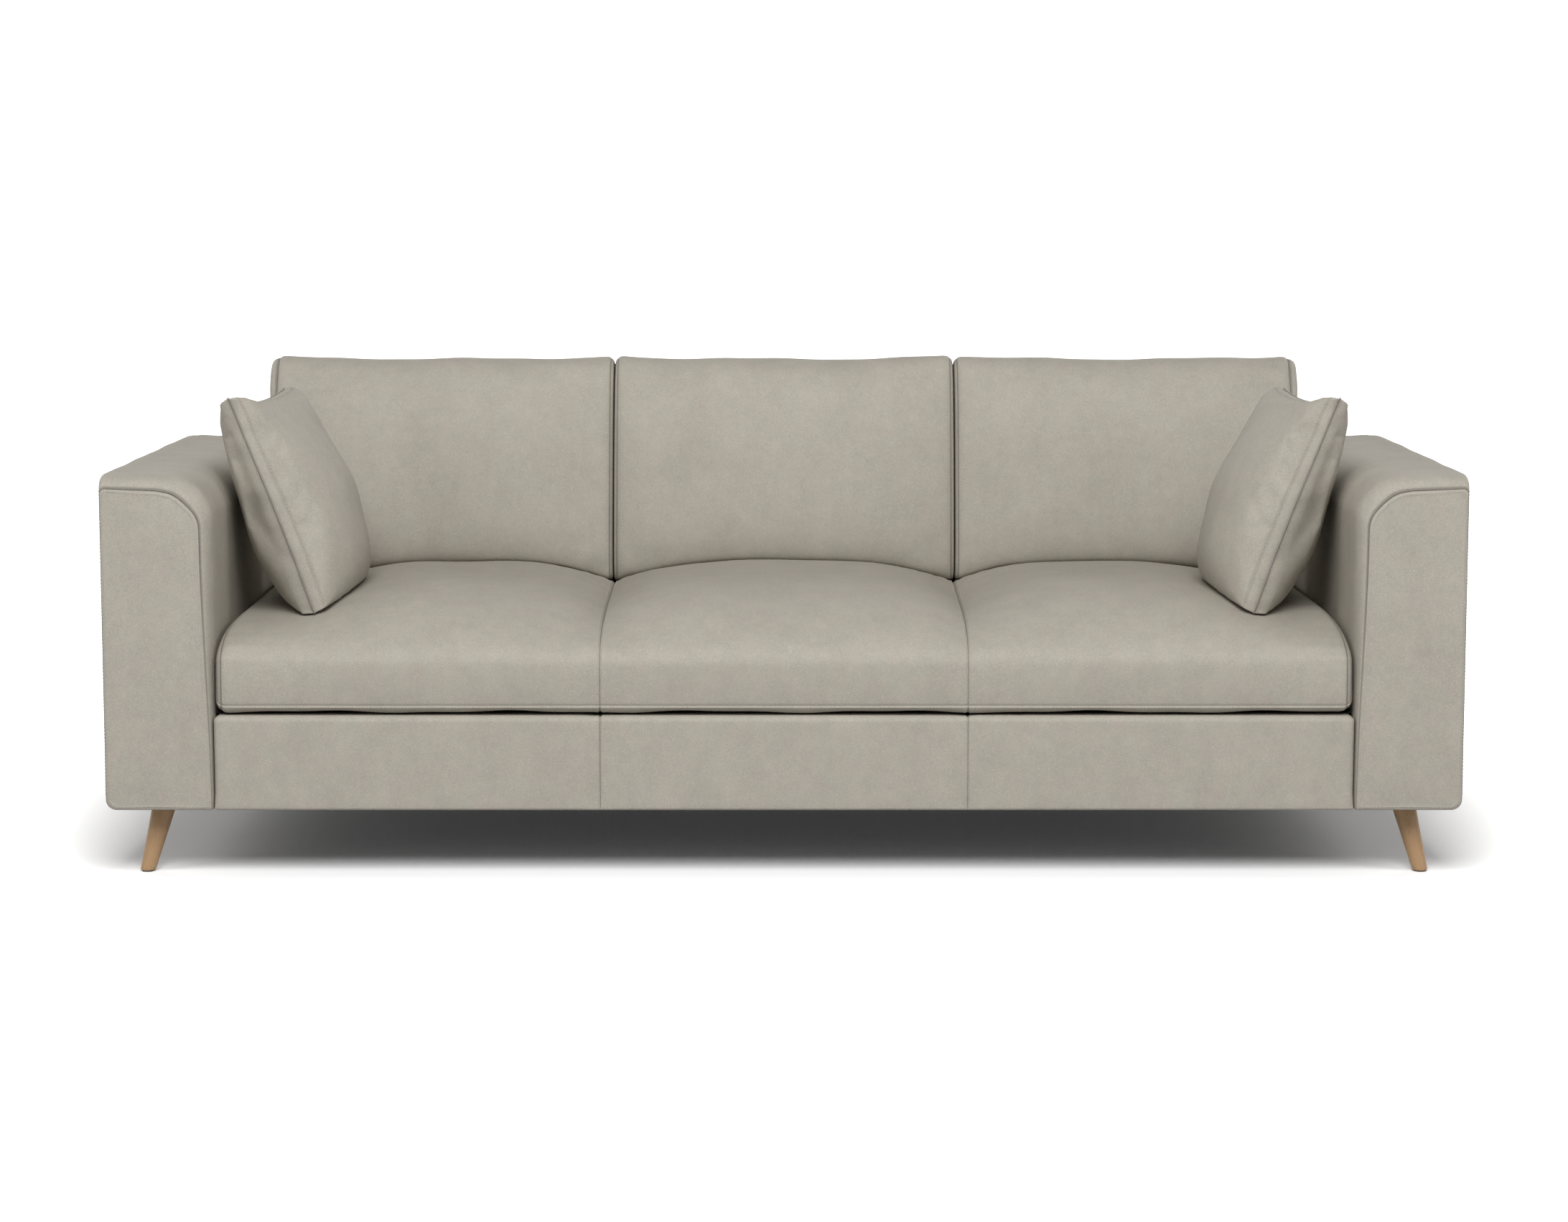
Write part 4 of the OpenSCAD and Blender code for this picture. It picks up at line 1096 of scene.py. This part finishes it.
class SOFA_OT_seat(bpy.types.Operator):
    """Bench seat cushion, sewn into one section for each seat"""

    bl_idname = "sofa.seat"
    bl_label = "Seat cushion"

    def execute(self, context):
        s = sizes()
        low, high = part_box("seat_cushion_cover")
        half_w, crown = (high.x - low.x) / 2, s.seat_crown
        half = ((high.y - low.y) / 2, (high.z - low.z - crown) / 2 + 0.001)
        middle = Vector(((low.x + high.x) / 2, (low.y + high.y) / 2, low.z + half[1]))
        seams = (-s.seam_at, s.seam_at)

        def swell(x):
            """How plump the seat is, from 0 at a seam to 1, with a long slope to both ends"""
            bounds = (-half_w, seams[0], seams[1], half_w)
            k = int(np.clip(np.searchsorted(bounds, x) - 1, 0, 2))
            t = 2 * (x - bounds[k]) / (bounds[k + 1] - bounds[k]) - 1
            plump = 1 - abs(t) ** 3.8
            if (k == 0 and t < 0) or (k == 2 and t > 0):
                return 0.22 * plump + 0.78 * (0.5 + 0.5 * math.cos(math.pi * t)) ** 1.2
            return plump

        def ring(x):
            """The section, with its crown and its front that leans out over the border"""
            y, z, c, sn = superellipse(half, (5.0, 3.2, 24, 7), 260)
            k = swell(float(np.clip(x, -half_w + 1e-6, half_w - 1e-6)))
            up = np.clip(sn, 0, 1)
            front = np.clip(-c, 0, 1)
            z = z + crown * k * up**2.6
            y = y - 0.006 * k * front**3 * np.clip(sn + 0.4, 0, 1) + 0.004 * front**3
            # Below the seam at the bottom of the front the leather rolls under as a lip
            under = smooth(-z, half[1] - 0.0150, half[1])
            under = under * smooth(-y, half[0] * 0.6, half[0] * 0.98)
            y, z = y + 0.007 * under, z + 0.001 * under
            return np.stack([y, z], 1)

        def wave(x, section):
            """Gathers that fan out from each seam towards the back, and a slack underside"""
            depth, height = section[:, 0], section[:, 1]
            distance, end = to_seam(x, seams), min(x + half_w, half_w - x)
            front = smooth(-depth, half[0] * 0.5, half[0])
            upper = smooth(height, 0, half[1])
            lower = smooth(-height, half[1] * 0.80, half[1])
            fan = ripple(
                (depth + distance * 0.8, 0.062, 0.4, 0.0030),
                (depth - distance * 0.5, 0.037, 2.1, 0.0014),
            )
            upper_back = smooth(depth, -0.10, half[0] * 0.7) * upper
            fan = fan * gathers(distance, 0.055, 0.010) * upper_back
            creases = ripple((height * 2 + depth, 0.055, 1.0, 0.0012))
            creases = creases * gathers(end, 0.05, 0.012) * front
            slack = lower * front * ripple((x, 0.34, 1.1, 0.0020), (x, 0.147, 0.2, 0.0010))
            drift = ripple((x, 0.42, depth * 6, 0.0016), (x, 0.23, depth * 9 + 1, 0.0009)) * upper
            return fan + creases + slack + drift

        bottom_seam = -half[1] + 0.017
        clear, skew, gusset = 0.001, 0.010, (s.seat_gusset, 0.030)
        patch = boxed_cushion(half_w - clear, ring, seams, wave, gusset, skew, bottom_seam)
        patch.move(lambda p: p + np.array(middle))
        piece = patch.build("seat_cushion_leather")
        ride_leather(piece, "seat_cushion", "seat_cushion_cover", "seat_cushion_core")
        # Rows on both sides of each seam, along the bottom of the front and down its ends
        lines = []
        ys = np.linspace(-half[0] * 0.93, half[0] * 0.9, 120)
        up_front = np.linspace(middle.z - half[1] + 0.02, middle.z + half[1] * 0.62, 24)
        for seam in seams:
            for away in (-0.0050, 0.0050):
                xs = seam + away + skew * np.sign(seam) * (ys + half[0]) / (2 * half[0])
                path = [(x, middle.y + y, middle.z) for x, y in zip(xs, ys)]
                lines.append(on_surface(piece, path, (0, 0, 1)))
                lines.append(front_row(piece, seam + away, low.y, up_front))
        xs = np.linspace(low.x + 0.02, high.x - 0.02, 400)
        lines.append(front_row(piece, xs, low.y, middle.z + bottom_seam - 0.0044))
        at_end = np.linspace(middle.z - half[1] * 0.8, middle.z + half[1] * 0.5, 24)
        for x in (low.x + s.seat_gusset + 0.005, high.x - s.seat_gusset - 0.005):
            lines.append(front_row(piece, x, low.y, at_end))
        sew("seat_stitches", "seat_cushion", [line for line in lines if len(line[0]) > 1])
        zip_strip("seat_cushion_closure", piece, "seat_cushion", "seat_cushion_zip")
        return {"FINISHED"}


def zip_strip(name, surface, body, node):
    """Tape and teeth of a zip, laid on the leather where the solid one is"""
    low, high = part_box(node)
    lean = 0.0 if body == "seat_cushion" else sizes().back_lean
    up = Vector((0, math.sin(lean), math.cos(lean)))
    back = Vector((0, math.cos(lean), -math.sin(lean)))
    middle = (low + high) / 2
    # The tape's section: places across it, and how far each stands off the leather
    across = np.array([-6, -5.2, -2.2, -1.8, -0.5, 0.5, 1.8, 2.2, 5.2, 6]) * MM
    lift = np.array([0.2, 0.7, 0.7, 1.4, 1.8, 1.8, 1.4, 0.7, 0.7, 0.2]) * MM
    rows, spacing = [], 0.012
    for x in np.linspace(low.x, high.x, int((high.x - low.x) / spacing)):
        points = [middle + up * float(a) + Vector((x - middle.x, 0, 0)) for a in across]
        line = on_surface(surface, points, back)[0]
        if len(line) == len(points):
            rows.append(line + np.array(back) * lift[:, None])
    patch = Patchwork()
    patch.grid(rows)
    piece = patch.build(name, "tape")
    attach(piece, body)
    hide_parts(node)


class SOFA_OT_back_cushions(bpy.types.Operator):
    """Loose back cushions that stand on the seat and lean on the back"""

    bl_idname = "sofa.back_cushions"
    bl_label = "Back cushions"

    def execute(self, context):
        for order, seat in enumerate(SEATS):
            self.cushion(seat, order)
        return {"FINISHED"}

    def cushion(self, seat, order):
        """One cushion, shaped upright in its own lean and then turned to it"""
        s, lean = sizes(), sizes().back_lean
        node = frame["nodes"][f"back_cushion_cover_{seat}"]
        points = np.array([v.co for v in node.data.vertices])
        turn = np.array(Matrix.Rotation(-lean, 3, "X"))
        lo, hi = (points @ turn).min(0), (points @ turn).max(0)
        half_w, crown, heel = (hi[0] - lo[0]) / 2, 0.040, 0.026
        half = ((hi[1] - lo[1] - crown) / 2, (hi[2] - lo[2]) / 2)
        middle = np.array([(lo[0] + hi[0]) / 2, hi[1] - half[0], (lo[2] + hi[2]) / 2])
        # Each cushion's folds start elsewhere
        phase = order * 1.9

        def ring(x):
            """The section, plump in front and flat behind"""
            y, z, c, sn = superellipse(half, (7, 3.2, 4.5, 7))
            t = np.clip(x / half_w, -1, 1)
            k = 1 - abs(t) ** 2.6
            front = np.clip(-c, 0, 1)
            low_part = np.clip(-sn, 0, 1)
            top = np.clip(sn, 0, 1)
            y = y - crown * k * front**1.3 * (1 - 0.25 * smooth(z, 0, half[1]))
            # The underside is level where it stands, and the top corners stand up
            z = z + (heel * k + math.tan(lean) * y) * low_part**0.8
            z = z + top**4 * (0.007 * abs(t) ** 4 - 0.0015)
            return np.stack([y, z], 1)

        def wave(x, section):
            """Tucks at the end seams, slow waves over the face and a wavy top"""
            depth, height = section[:, 0], section[:, 1]
            end = min(x + half_w, half_w - x)
            top = smooth(height, half[1] * 0.55, half[1])
            low_part = smooth(-height, half[1] * 0.4, half[1])
            face = smooth(-depth, 0, half[0])
            tucks = ripple(
                (height + end * 0.6, 0.085, phase, 0.0018),
                (height, 0.047, phase * 2, 0.0007),
            )
            tucks = tucks * gathers(end, 0.06, 0.012) * (top + low_part * 0.8 + 0.25)
            sway = ripple(
                (x, 0.37, phase + height * 7, 0.0026),
                (x, 0.19, phase * 3 + height * 5, 0.0012),
            )
            brow = ripple((x, 0.33, phase * 1.3, 0.0013), (x, 0.12, phase, 0.0004)) * top
            return tucks * face + sway * face + brow

        def free_end(sign, section):
            """The end gusset swells over the arm, above it"""
            if sign * (order - 1) <= 0:
                return 0
            height = ((at_x(0, section) + middle * (0, 1, 1)) @ turn.T)[:, 2]
            arm_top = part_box("arm_cover_left")[1].z
            return 0.010 * smooth(height, arm_top, arm_top + 0.12)

        patch = boxed_cushion(half_w, ring, (), wave, (s.back_gusset, 0.012), extra=free_end)
        seat_leather = bpy.data.objects["seat_cushion_leather"]
        patch.move(lambda p: rest_on((p + middle) @ turn.T, seat_leather))
        piece = patch.build(f"back_cushion_leather_{seat}")
        body = f"back_cushion_{seat}"
        ride_leather(piece, body, f"back_cushion_cover_{seat}", f"back_cushion_core_{seat}")
        # Two rows down the face beside each end seam
        lines, outward = [], (0, -1, 0) @ turn.T
        heights = np.linspace(-half[1] * 0.86, half[1] * 0.93, 70)
        for sign in (-1, 1):
            for away in (s.back_gusset + 0.005, s.back_gusset + 0.0085):
                path = np.array([(sign * (half_w - away), -half[0] - crown, z) for z in heights])
                lines.append(on_surface(piece, (path + middle) @ turn.T, outward))
        sew(f"back_stitches_{seat}", body, [line for line in lines if len(line[0]) > 1])
        zip_strip(f"back_cushion_closure_{seat}", piece, body, f"back_cushion_zip_{seat}")


# ---------------------------------------------------------------- scatter cushions


def beside(points, surface, way, gap=0.0015, soft=0.005):
    """Pushes points that lie inside an arm out of it, along X"""
    tree, points = surface_tree(surface), np.array(points, float)
    reach = 1.3
    for i in np.nonzero(points[:, 0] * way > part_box("seat_cushion_cover")[1].x - 0.05)[0]:
        hit = tree.ray_cast(Vector((0, points[i, 1], points[i, 2])), Vector((way, 0, 0)), reach)[0]
        if hit is not None:
            room = ((hit.x - points[i, 0]) * way - gap) / soft
            if room < 12:
                points[i, 0] = hit.x - way * (gap + soft * math.log1p(math.exp(room)))
    return points


def spread(coarse, fine):
    """Weights that carry values from even rows to places between them, on a smooth curve"""
    k = np.clip(np.floor(fine).astype(int), 0, coarse - 2)
    t = fine - k
    weights = np.zeros((len(fine), coarse))
    shares = (
        (-t + 2 * t**2 - t**3) / 2,
        (2 - 5 * t**2 + 3 * t**3) / 2,
        (t + 4 * t**2 - 3 * t**3) / 2,
        (t**3 - t**2) / 2,
    )
    for step, share in enumerate(shares):
        np.add.at(weights, (np.arange(len(fine)), np.clip(k + step - 1, 0, coarse - 1)), share)
    return weights


class SOFA_OT_scatter(bpy.types.Operator):
    """Scatter cushions of two panels sewn at their edge, filled and squashed where they stand"""

    bl_idname = "sofa.scatter"
    bl_label = "Scatter cushions"

    def execute(self, context):
        panels = self.fill(40)
        for side in SIDES:
            self.settle(panels, side)
        return {"FINISHED"}

    @staticmethod
    def case(u, v, way):
        """Point of a panel: along, up, and across to the inner side"""
        s = sizes()
        half, deep = s.scatter_size / 2, s.scatter_depth[0 if way > 0 else 1]
        # The filling sinks, so the lower half is fuller
        sunk = v + 0.30 * (1 - v**2)
        fat = np.sqrt(np.clip(1 - np.abs(sunk) ** np.where(sunk > 0, 2.2, 2.8), 0, 1))
        fat = fat * np.clip(1 - np.abs(u) ** 2.1, 0, 1) ** 0.66
        # The panels roll together within this distance of their edge
        edge = np.minimum(1 - np.abs(u), 1 - np.abs(v)) * half
        roll = (1 - quarter(edge, 0.013)) * (0.007 + 0.012 * np.abs(u * v) ** 3)
        # The sides pull in between blunt corners, most of all the lower one at the back
        corner = np.where((u > 0) & (v < 0), 0.12, 0.014) * np.abs(u * v) ** 5.5
        drawn = 0.034 * (0.5 + 0.5 * u) ** 2 * (0.5 - 0.5 * v)
        along = half * u * (1 - np.where(u < 0, 0.030, 0.050) * (1 - v**2) - corner - drawn)
        up = half * v * (1 - np.where(v < 0, 0.015, 0.060) * (1 - u**2) - corner)
        # The back lower corner is tucked towards the arm
        tuck = 0.046 * (0.5 + 0.5 * u) ** 1.2 * (0.5 - 0.5 * v) ** 1.2
        return np.stack([along, up, way * (roll + deep * fat) - tuck], -1)

    @staticmethod
    def rows(count):
        """Rows of the filled panels, closer together towards the edges"""
        t = np.linspace(-1, 1, count + 1)
        return t * 0.62 + 0.38 * np.sin(t * math.pi / 2)

    def fill(self, count):
        """Both panels after cloth pressure has filled them, as two grids of points"""
        t = self.rows(count)
        u, v = np.meshgrid(t, t, indexing="ij")
        panels = np.stack([self.case(u, v, 1), self.case(u, v, -1)])
        # Both panels share the points of their rim
        number = np.arange((count + 1) ** 2 * 2).reshape(2, count + 1, count + 1)
        rim = (np.abs(u) == 1) | (np.abs(v) == 1)
        number[1][rim] = number[0][rim]
        used, place = np.unique(number, return_inverse=True)
        place = place.reshape(number.shape)
        points = panels.reshape(-1, 3)[used]
        corners = (place[:, :-1, :-1], place[:, 1:, :-1], place[:, 1:, 1:], place[:, :-1, 1:])
        corners = np.stack(corners, -1)
        corners[1] = corners[1, :, :, ::-1]
        mesh = bpy.data.meshes.new("filling_case")
        mesh.from_pydata([tuple(p) for p in points], [], corners.reshape(-1, 4).tolist())
        case = add_object("filling_case", mesh)
        cloth = case.modifiers.new("Cloth", "CLOTH")
        c = cloth.settings
        c.quality, c.mass = 8, 0.3
        c.tension_stiffness = c.compression_stiffness = 30
        c.shear_stiffness, c.bending_stiffness = 12, 2.5
        c.use_pressure, c.uniform_pressure_force = True, 2.5
        c.shrink_min = 0.004
        c.effector_weights.gravity = 0
        cloth.collision_settings.use_self_collision = False
        last = sizes().puff_frames
        cloth.point_cache.frame_start, cloth.point_cache.frame_end = 1, last
        scene = bpy.context.scene
        for step in range(1, last + 1):
            scene.frame_set(step)
        graph = bpy.context.evaluated_depsgraph_get()
        filled = case.evaluated_get(graph).to_mesh()
        co = np.zeros(len(filled.vertices) * 3)
        filled.vertices.foreach_get("co", co)
        # No point may swell further than this
        furthest = 0.014
        moved = co.reshape(-1, 3) - points
        length = np.linalg.norm(moved, axis=1, keepdims=True)
        moved *= np.minimum(1, furthest / np.maximum(length, 1e-9))
        bpy.data.objects.remove(case)
        scene.frame_set(1)
        return (points + moved)[place]

    def settle(self, panels, side):
        """Stands the filled panels on the seat against an arm, sews them and lays their stitches"""
        s = sizes()
        flip = 1 if side == "left" else -1
        lean, turn, half = s.scatter_lean, s.scatter_turn, s.scatter_size / 2
        # The cushion's own directions: along its foot, up its face, and across to the inner side
        level = np.array([math.cos(turn), -math.sin(turn), 0])
        along = np.array([math.sin(turn), math.cos(turn), 0])
        up = (0, 0, math.cos(lean)) - level * math.sin(lean)
        across = (0, 0, math.sin(lean)) + level * math.cos(lean)
        axes = np.stack([along, up, across])
        node = frame["nodes"][f"scatter_cover_{side}"]
        solid = np.array([v.co for v in node.data.vertices]) * (flip, 1, 1) @ axes.T
        low, high = solid.min(0), solid.max(0)
        rest = np.array([(low[0] + high[0]) / 2, high[1] - half * 0.94, high[2] - 0.072])
        shift = np.array([0.009 * flip, 0, -0.004])
        # Fine rows, close together at the seam, on a smooth curve through the filled panels
        count = panels.shape[1] - 1
        away = NEAR[:9] / half
        t = np.concatenate([-1 + away, np.linspace(-1, 1, 111)[5:-5], (1 - away)[::-1]])
        weights = spread(count + 1, np.interp(t, self.rows(count), np.arange(count + 1)))
        u, v = np.meshgrid(t, t, indexing="ij")
        edge = np.minimum(1 - np.abs(u), 1 - np.abs(v)) * half
        corner = np.hypot(1 - np.abs(u), 1 - np.abs(v)) * half
        angle = np.arctan2(1 - np.abs(v), 1 - np.abs(u) + 1e-9)
        run = np.where(1 - np.abs(u) < 1 - np.abs(v), v, u) * half
        row_at, row_index = 0.0072, 6
        arm = bpy.data.objects[f"arm_leather_{side}"]
        seat = bpy.data.objects["seat_cushion_leather"]
        patch = Patchwork()
        for way, panel in zip((1, -1), panels):
            fine = np.einsum("ia,jb,abk->ijk", weights, weights, panel)
            out = way * unit(np.cross(np.gradient(fine, axis=0), np.gradient(fine, axis=1)))
            # Creases fan out from the corners, puckers sit at the seam, slow rolls cross the face
            creases = np.exp(-corner / 0.045) * np.clip(corner / 0.012, 0, 1)
            creases = creases * (0.5 + 0.5 * np.cos(angle * 8 + way + 2 * u + v))
            puckers = ripple((run, 0.051, way + np.sign(u), 0.0007), (run, 0.083, 2 * way, 0.0006))
            puckers = puckers * np.exp(-edge / 0.020) * np.clip(edge / 0.004, 0, 1)
            rolls = ripple(
                (fine[..., 1], 0.16, way + fine[..., 0] * 12, 0.0011),
                (fine[..., 0], 0.19, fine[..., 1] * 9, 0.0009),
            )
            dip, black = seam_groove(edge)
            # row is the groove of the topstitch row; black is painted shade at the seam and in that
            # groove
            row = bell(edge - row_at, 0.0010) * (way > 0)
            black = np.maximum(np.maximum(black, bell(edge, 0.0015)), row * 0.4)
            depth = puckers + rolls * smooth(edge, 0, 0.05)
            depth = depth - creases * 0.0024 - dip * 0.5 - row * 0.0009
            # At the seam itself the two panels meet
            fine = fine + out * (depth * (edge > 0))[..., None]
            world = (fine + rest) @ axes * (flip, 1, 1) + shift
            flat = rest_on(beside(world.reshape(-1, 3), arm, -flip), seat, 0.0014, 0.005)
            world = flat.reshape(world.shape)
            patch.grid(world, black)
            if way > 0:
                # One row of topstitches on the inner panel, along its sewn edge
                face = out @ axes * (flip, 1, 1)
                first, last, between = row_index, -1 - row_index, slice(row_index, -row_index)
                paths = ((first, between), (last, between), (between, last))
                lines = [(world[path], face[path]) for path in paths]
        piece = patch.build(f"scatter_cushion_leather_{side}")
        body = f"scatter_cushion_{side}"
        ride_leather(piece, body, f"scatter_cover_{side}", f"scatter_filling_{side}")
        sew(f"scatter_stitches_{side}", body, lines)


# ---------------------------------------------------------------- legs and frame


def build_leg(corner):
    """Turned, tapered leg with its grain running down it"""
    node = frame["nodes"][f"leg_{corner}"]
    points = np.array([v.co for v in node.data.vertices])
    top_z, foot_z = points[:, 2].max(), points[:, 2].min()
    # The rims of its two ends, at the top without the bolt's hole
    top = points[points[:, 2] > top_z - 0.0005]
    foot = points[points[:, 2] < foot_z + 0.0005]
    rim = np.linalg.norm(top[:, :2] - (top[:, :2].max(0) + top[:, :2].min(0)) / 2, axis=1)
    top = top[rim > rim.max() * 0.6]
    head, toe = (top.max(0) + top.min(0)) / 2, (foot.max(0) + foot.min(0)) / 2
    radius_top = (np.ptp(top[:, 0]) + np.ptp(top[:, 1])) / 4
    radius_foot = (np.ptp(foot[:, 0]) + np.ptp(foot[:, 1])) / 4
    # Rings up the leg, trimmed to a small round at both ends and closed to a point
    shares = [0, 0, 0.004, 0.012, 0.022, *np.linspace(0.05, 0.97, 22), 0.985, 0.995, 1, 1]
    at_foot = np.array([0.0022, 0.0010, 0.0003]) / radius_foot
    at_top = np.array([0.0003, 0.0010]) / radius_top
    trims = [1, *at_foot, 0, *np.zeros(22), 0, *at_top, 1]
    count = 64
    a = np.linspace(0, 2 * math.pi, count, endpoint=False)
    rows = []
    for share, trim in zip(shares, trims):
        centre = toe + (head - toe) * share
        r = (radius_foot + (radius_top - radius_foot) * share) * (1 - trim)
        rows.append(centre + r * np.stack([np.cos(a), np.sin(a), np.zeros(count)], 1))
    patch = Patchwork()
    patch.grid(rows, closed=True)
    piece = patch.build(f"turned_leg_{corner}", "oak")
    # Each leg's grain runs down it and starts at another place
    axis = Vector(head - toe).normalized()
    turn = axis.rotation_difference(Vector((0, 0, 1))).to_matrix()
    grain = piece.data.attributes.new("grain", "FLOAT_VECTOR", "POINT")
    shift = Vector((0.11, 0.37, 0.23)) * (1 + ("back" in corner) + 2 * ("left" in corner))
    values = [tuple(turn @ (v.co - Vector(toe)) + shift) for v in piece.data.vertices]
    grain.data.foreach_set("vector", np.array(values, np.float32).ravel())
    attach(piece, "frame")
    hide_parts(f"leg_{corner}")


class SOFA_OT_legs(bpy.types.Operator):
    """Tapered oak legs, splayed outwards"""

    bl_idname = "sofa.legs"
    bl_label = "Legs"

    def execute(self, context):
        for end in ("front", "back"):
            for side in SIDES:
                build_leg(f"{end}_{side}")
        return {"FINISHED"}


class SOFA_OT_frame(bpy.types.Operator):
    """Finishes of the timber, springs, cloths and fittings"""

    bl_idname = "sofa.frame"
    bl_label = "Frame finishes"

    def execute(self, context):
        slots = {part["node"]: part["material_slot"] for part in frame["record"]["subparts"]}
        for name, node in frame["nodes"].items():
            finish = CAD_FINISH.get(slots.get(name))
            if finish:
                node.data.materials.clear()
                node.data.materials.append(material(finish))
        return {"FINISHED"}


# ---------------------------------------------------------------- studio


class SOFA_OT_stage(bpy.types.Operator):
    """White floor and backdrop, soft lamps and the camera"""

    bl_idname = "sofa.stage"
    bl_label = "Studio"

    def execute(self, context):
        scene = context.scene
        scene.view_settings.view_transform = "Standard"
        self.floor()
        self.lamps(scene)
        self.camera(scene)
        return {"FINISHED"}

    def floor(self):
        """A wide floor that bends up into a backdrop"""
        near, turn, half_w, r, steps = -60.0, 6.0, 60.0, 3.0, 16
        line = [(near, 0.0)]
        for a in np.radians(np.linspace(0, 90, steps + 1)):
            line.append((turn + r * math.sin(a), r - r * math.cos(a)))
        line.append((turn + r, 9.0))
        points = [(x, y, z) for x in (-half_w, half_w) for y, z in line]
        n = len(line)
        mesh = bpy.data.meshes.new("studio_floor")
        mesh.from_pydata(points, [], [(i, n + i, n + i + 1, i + 1) for i in range(n - 1)])
        for polygon in mesh.polygons:
            polygon.use_smooth = True
        floor = add_object("studio_floor", mesh)
        mesh.materials.append(self.paper())
        floor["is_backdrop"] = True

    @staticmethod
    def paper():
        """White where the camera or a reflection sees it, with a painted shadow round the sofa, and
        grey for the light it throws back
        """
        m, c = Material("studio_white"), tuple(colours().backdrop)
        seen, glossy, through = (
            m.add("ShaderNodeLightPath", {}, out=kind)
            for kind in ("Is Camera Ray", "Is Glossy Ray", "Is Transmission Ray")
        )
        direct = m.larger(m.larger(seen, glossy), through)
        plain = m.add("ShaderNodeBsdfDiffuse", {}, (0.5, 0.5, 0.5, 1))
        white = m.add("ShaderNodeBsdfDiffuse", {}, tuple(1.1 * v for v in c))
        # Away from the sofa the paper glows, so that it stays evenly white; round the sofa's
        # footprint the glow's mask is a painted shadow that sets how far the floor shadow reaches
        # and how dark it is
        across = m.vector("ABSOLUTE", m.place((0.6, 1.0, 1.0)))
        past = m.vector("SUBTRACT", across, (0.660, 0.475, 0))
        away = m.vector("LENGTH", m.vector("MAXIMUM", past, (0, 0, 0)), out="Value")
        glow_with_painted_shadow = m.add("ShaderNodeEmission", {}, c, away.smooth(0.03, 0.36, 0.030, 1.0))
        both = m.add("ShaderNodeAddShader", {}, white, glow_with_painted_shadow)
        out = m.add("ShaderNodeMixShader", {}, direct, plain, both)
        m.tree.links.new(out.link, m.output.inputs["Surface"])
        return m.data

    def lamps(self, scene):
        """A large key panel in front, and smaller ones at both sides and behind"""
        world = bpy.data.worlds.new("studio_air")
        scene.world = world
        world.use_nodes = True
        air = world.node_tree.nodes["Background"].inputs
        air["Color"].default_value, air["Strength"].default_value = (1, 1, 1, 1), 0.15
        aim = Vector((0, 0, 0.4))
        for name, place, size, power in (
            ("key_panel", (0.0, -4.85, 4.8), 3.5, 372),
            ("left_panel", (-6.2, -3.4, 2.6), 3.0, 96),
            ("right_panel", (6.2, -3.4, 2.6), 3.0, 96),
            ("back_left_panel", (-4.6, 4.4, 2.6), 2.5, 75),
            ("back_right_panel", (4.6, 4.4, 2.6), 2.5, 75),
        ):
            light = bpy.data.lights.new(name, "AREA")
            light.size, light.energy, light.shape = size, power, "SQUARE"
            lamp = add_object(name, light)
            lamp.location = place
            lamp.rotation_euler = (aim - Vector(place)).to_track_quat("-Z", "Y").to_euler()

    def camera(self, scene):
        """A long lens straight in front, a little above the back and tilted down"""
        data = bpy.data.cameras.new("studio_camera")
        data.sensor_width, data.lens, tilt = 36.0, 82.4, 7.08
        data.dof.use_dof = False
        camera = add_object("studio_camera", data)
        camera.location = (0.0, -6.785, 1.2513)
        camera.rotation_euler = (math.radians(90 - tilt), 0, 0)
        scene.camera = camera


# ---------------------------------------------------------------- add-on


class SOFA_PT_panel(bpy.types.Panel):
    """Sizes, colours and pieces of the sofa"""

    bl_label = "Leather Sofa"
    bl_idname = "SOFA_PT_panel"
    bl_space_type = "VIEW_3D"
    bl_region_type = "UI"
    bl_category = "Sofa"

    def draw(self, context):
        for group in (context.scene.sofa_sizes, context.scene.sofa_colours):
            box = self.layout.box()
            for key in group.__annotations__:
                box.prop(group, key)
        for operator in OPERATORS:
            self.layout.operator(operator.bl_idname)


OPERATORS = (
    SOFA_OT_arms,
    SOFA_OT_border,
    SOFA_OT_back,
    SOFA_OT_seat,
    SOFA_OT_back_cushions,
    SOFA_OT_scatter,
    SOFA_OT_legs,
    SOFA_OT_frame,
    SOFA_OT_stage,
)
CLASSES = (SofaSizes, SofaColours, *OPERATORS, SOFA_PT_panel)


def register():
    for cls in CLASSES:
        bpy.utils.register_class(cls)
    bpy.types.Scene.sofa_sizes = PointerProperty(type=SofaSizes)
    bpy.types.Scene.sofa_colours = PointerProperty(type=SofaColours)


def unregister():
    del bpy.types.Scene.sofa_colours
    del bpy.types.Scene.sofa_sizes
    for cls in reversed(CLASSES):
        bpy.utils.unregister_class(cls)


def main():
    register()
    for operator in OPERATORS:
        getattr(bpy.ops.sofa, operator.bl_idname.split(".")[1])()
    plain = lambda box: [[float(v) for v in corner] for corner in box]
    {"cad": plain(CAD_BOX), "visual": plain(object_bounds())}


if __name__ == "__main__":
    main()
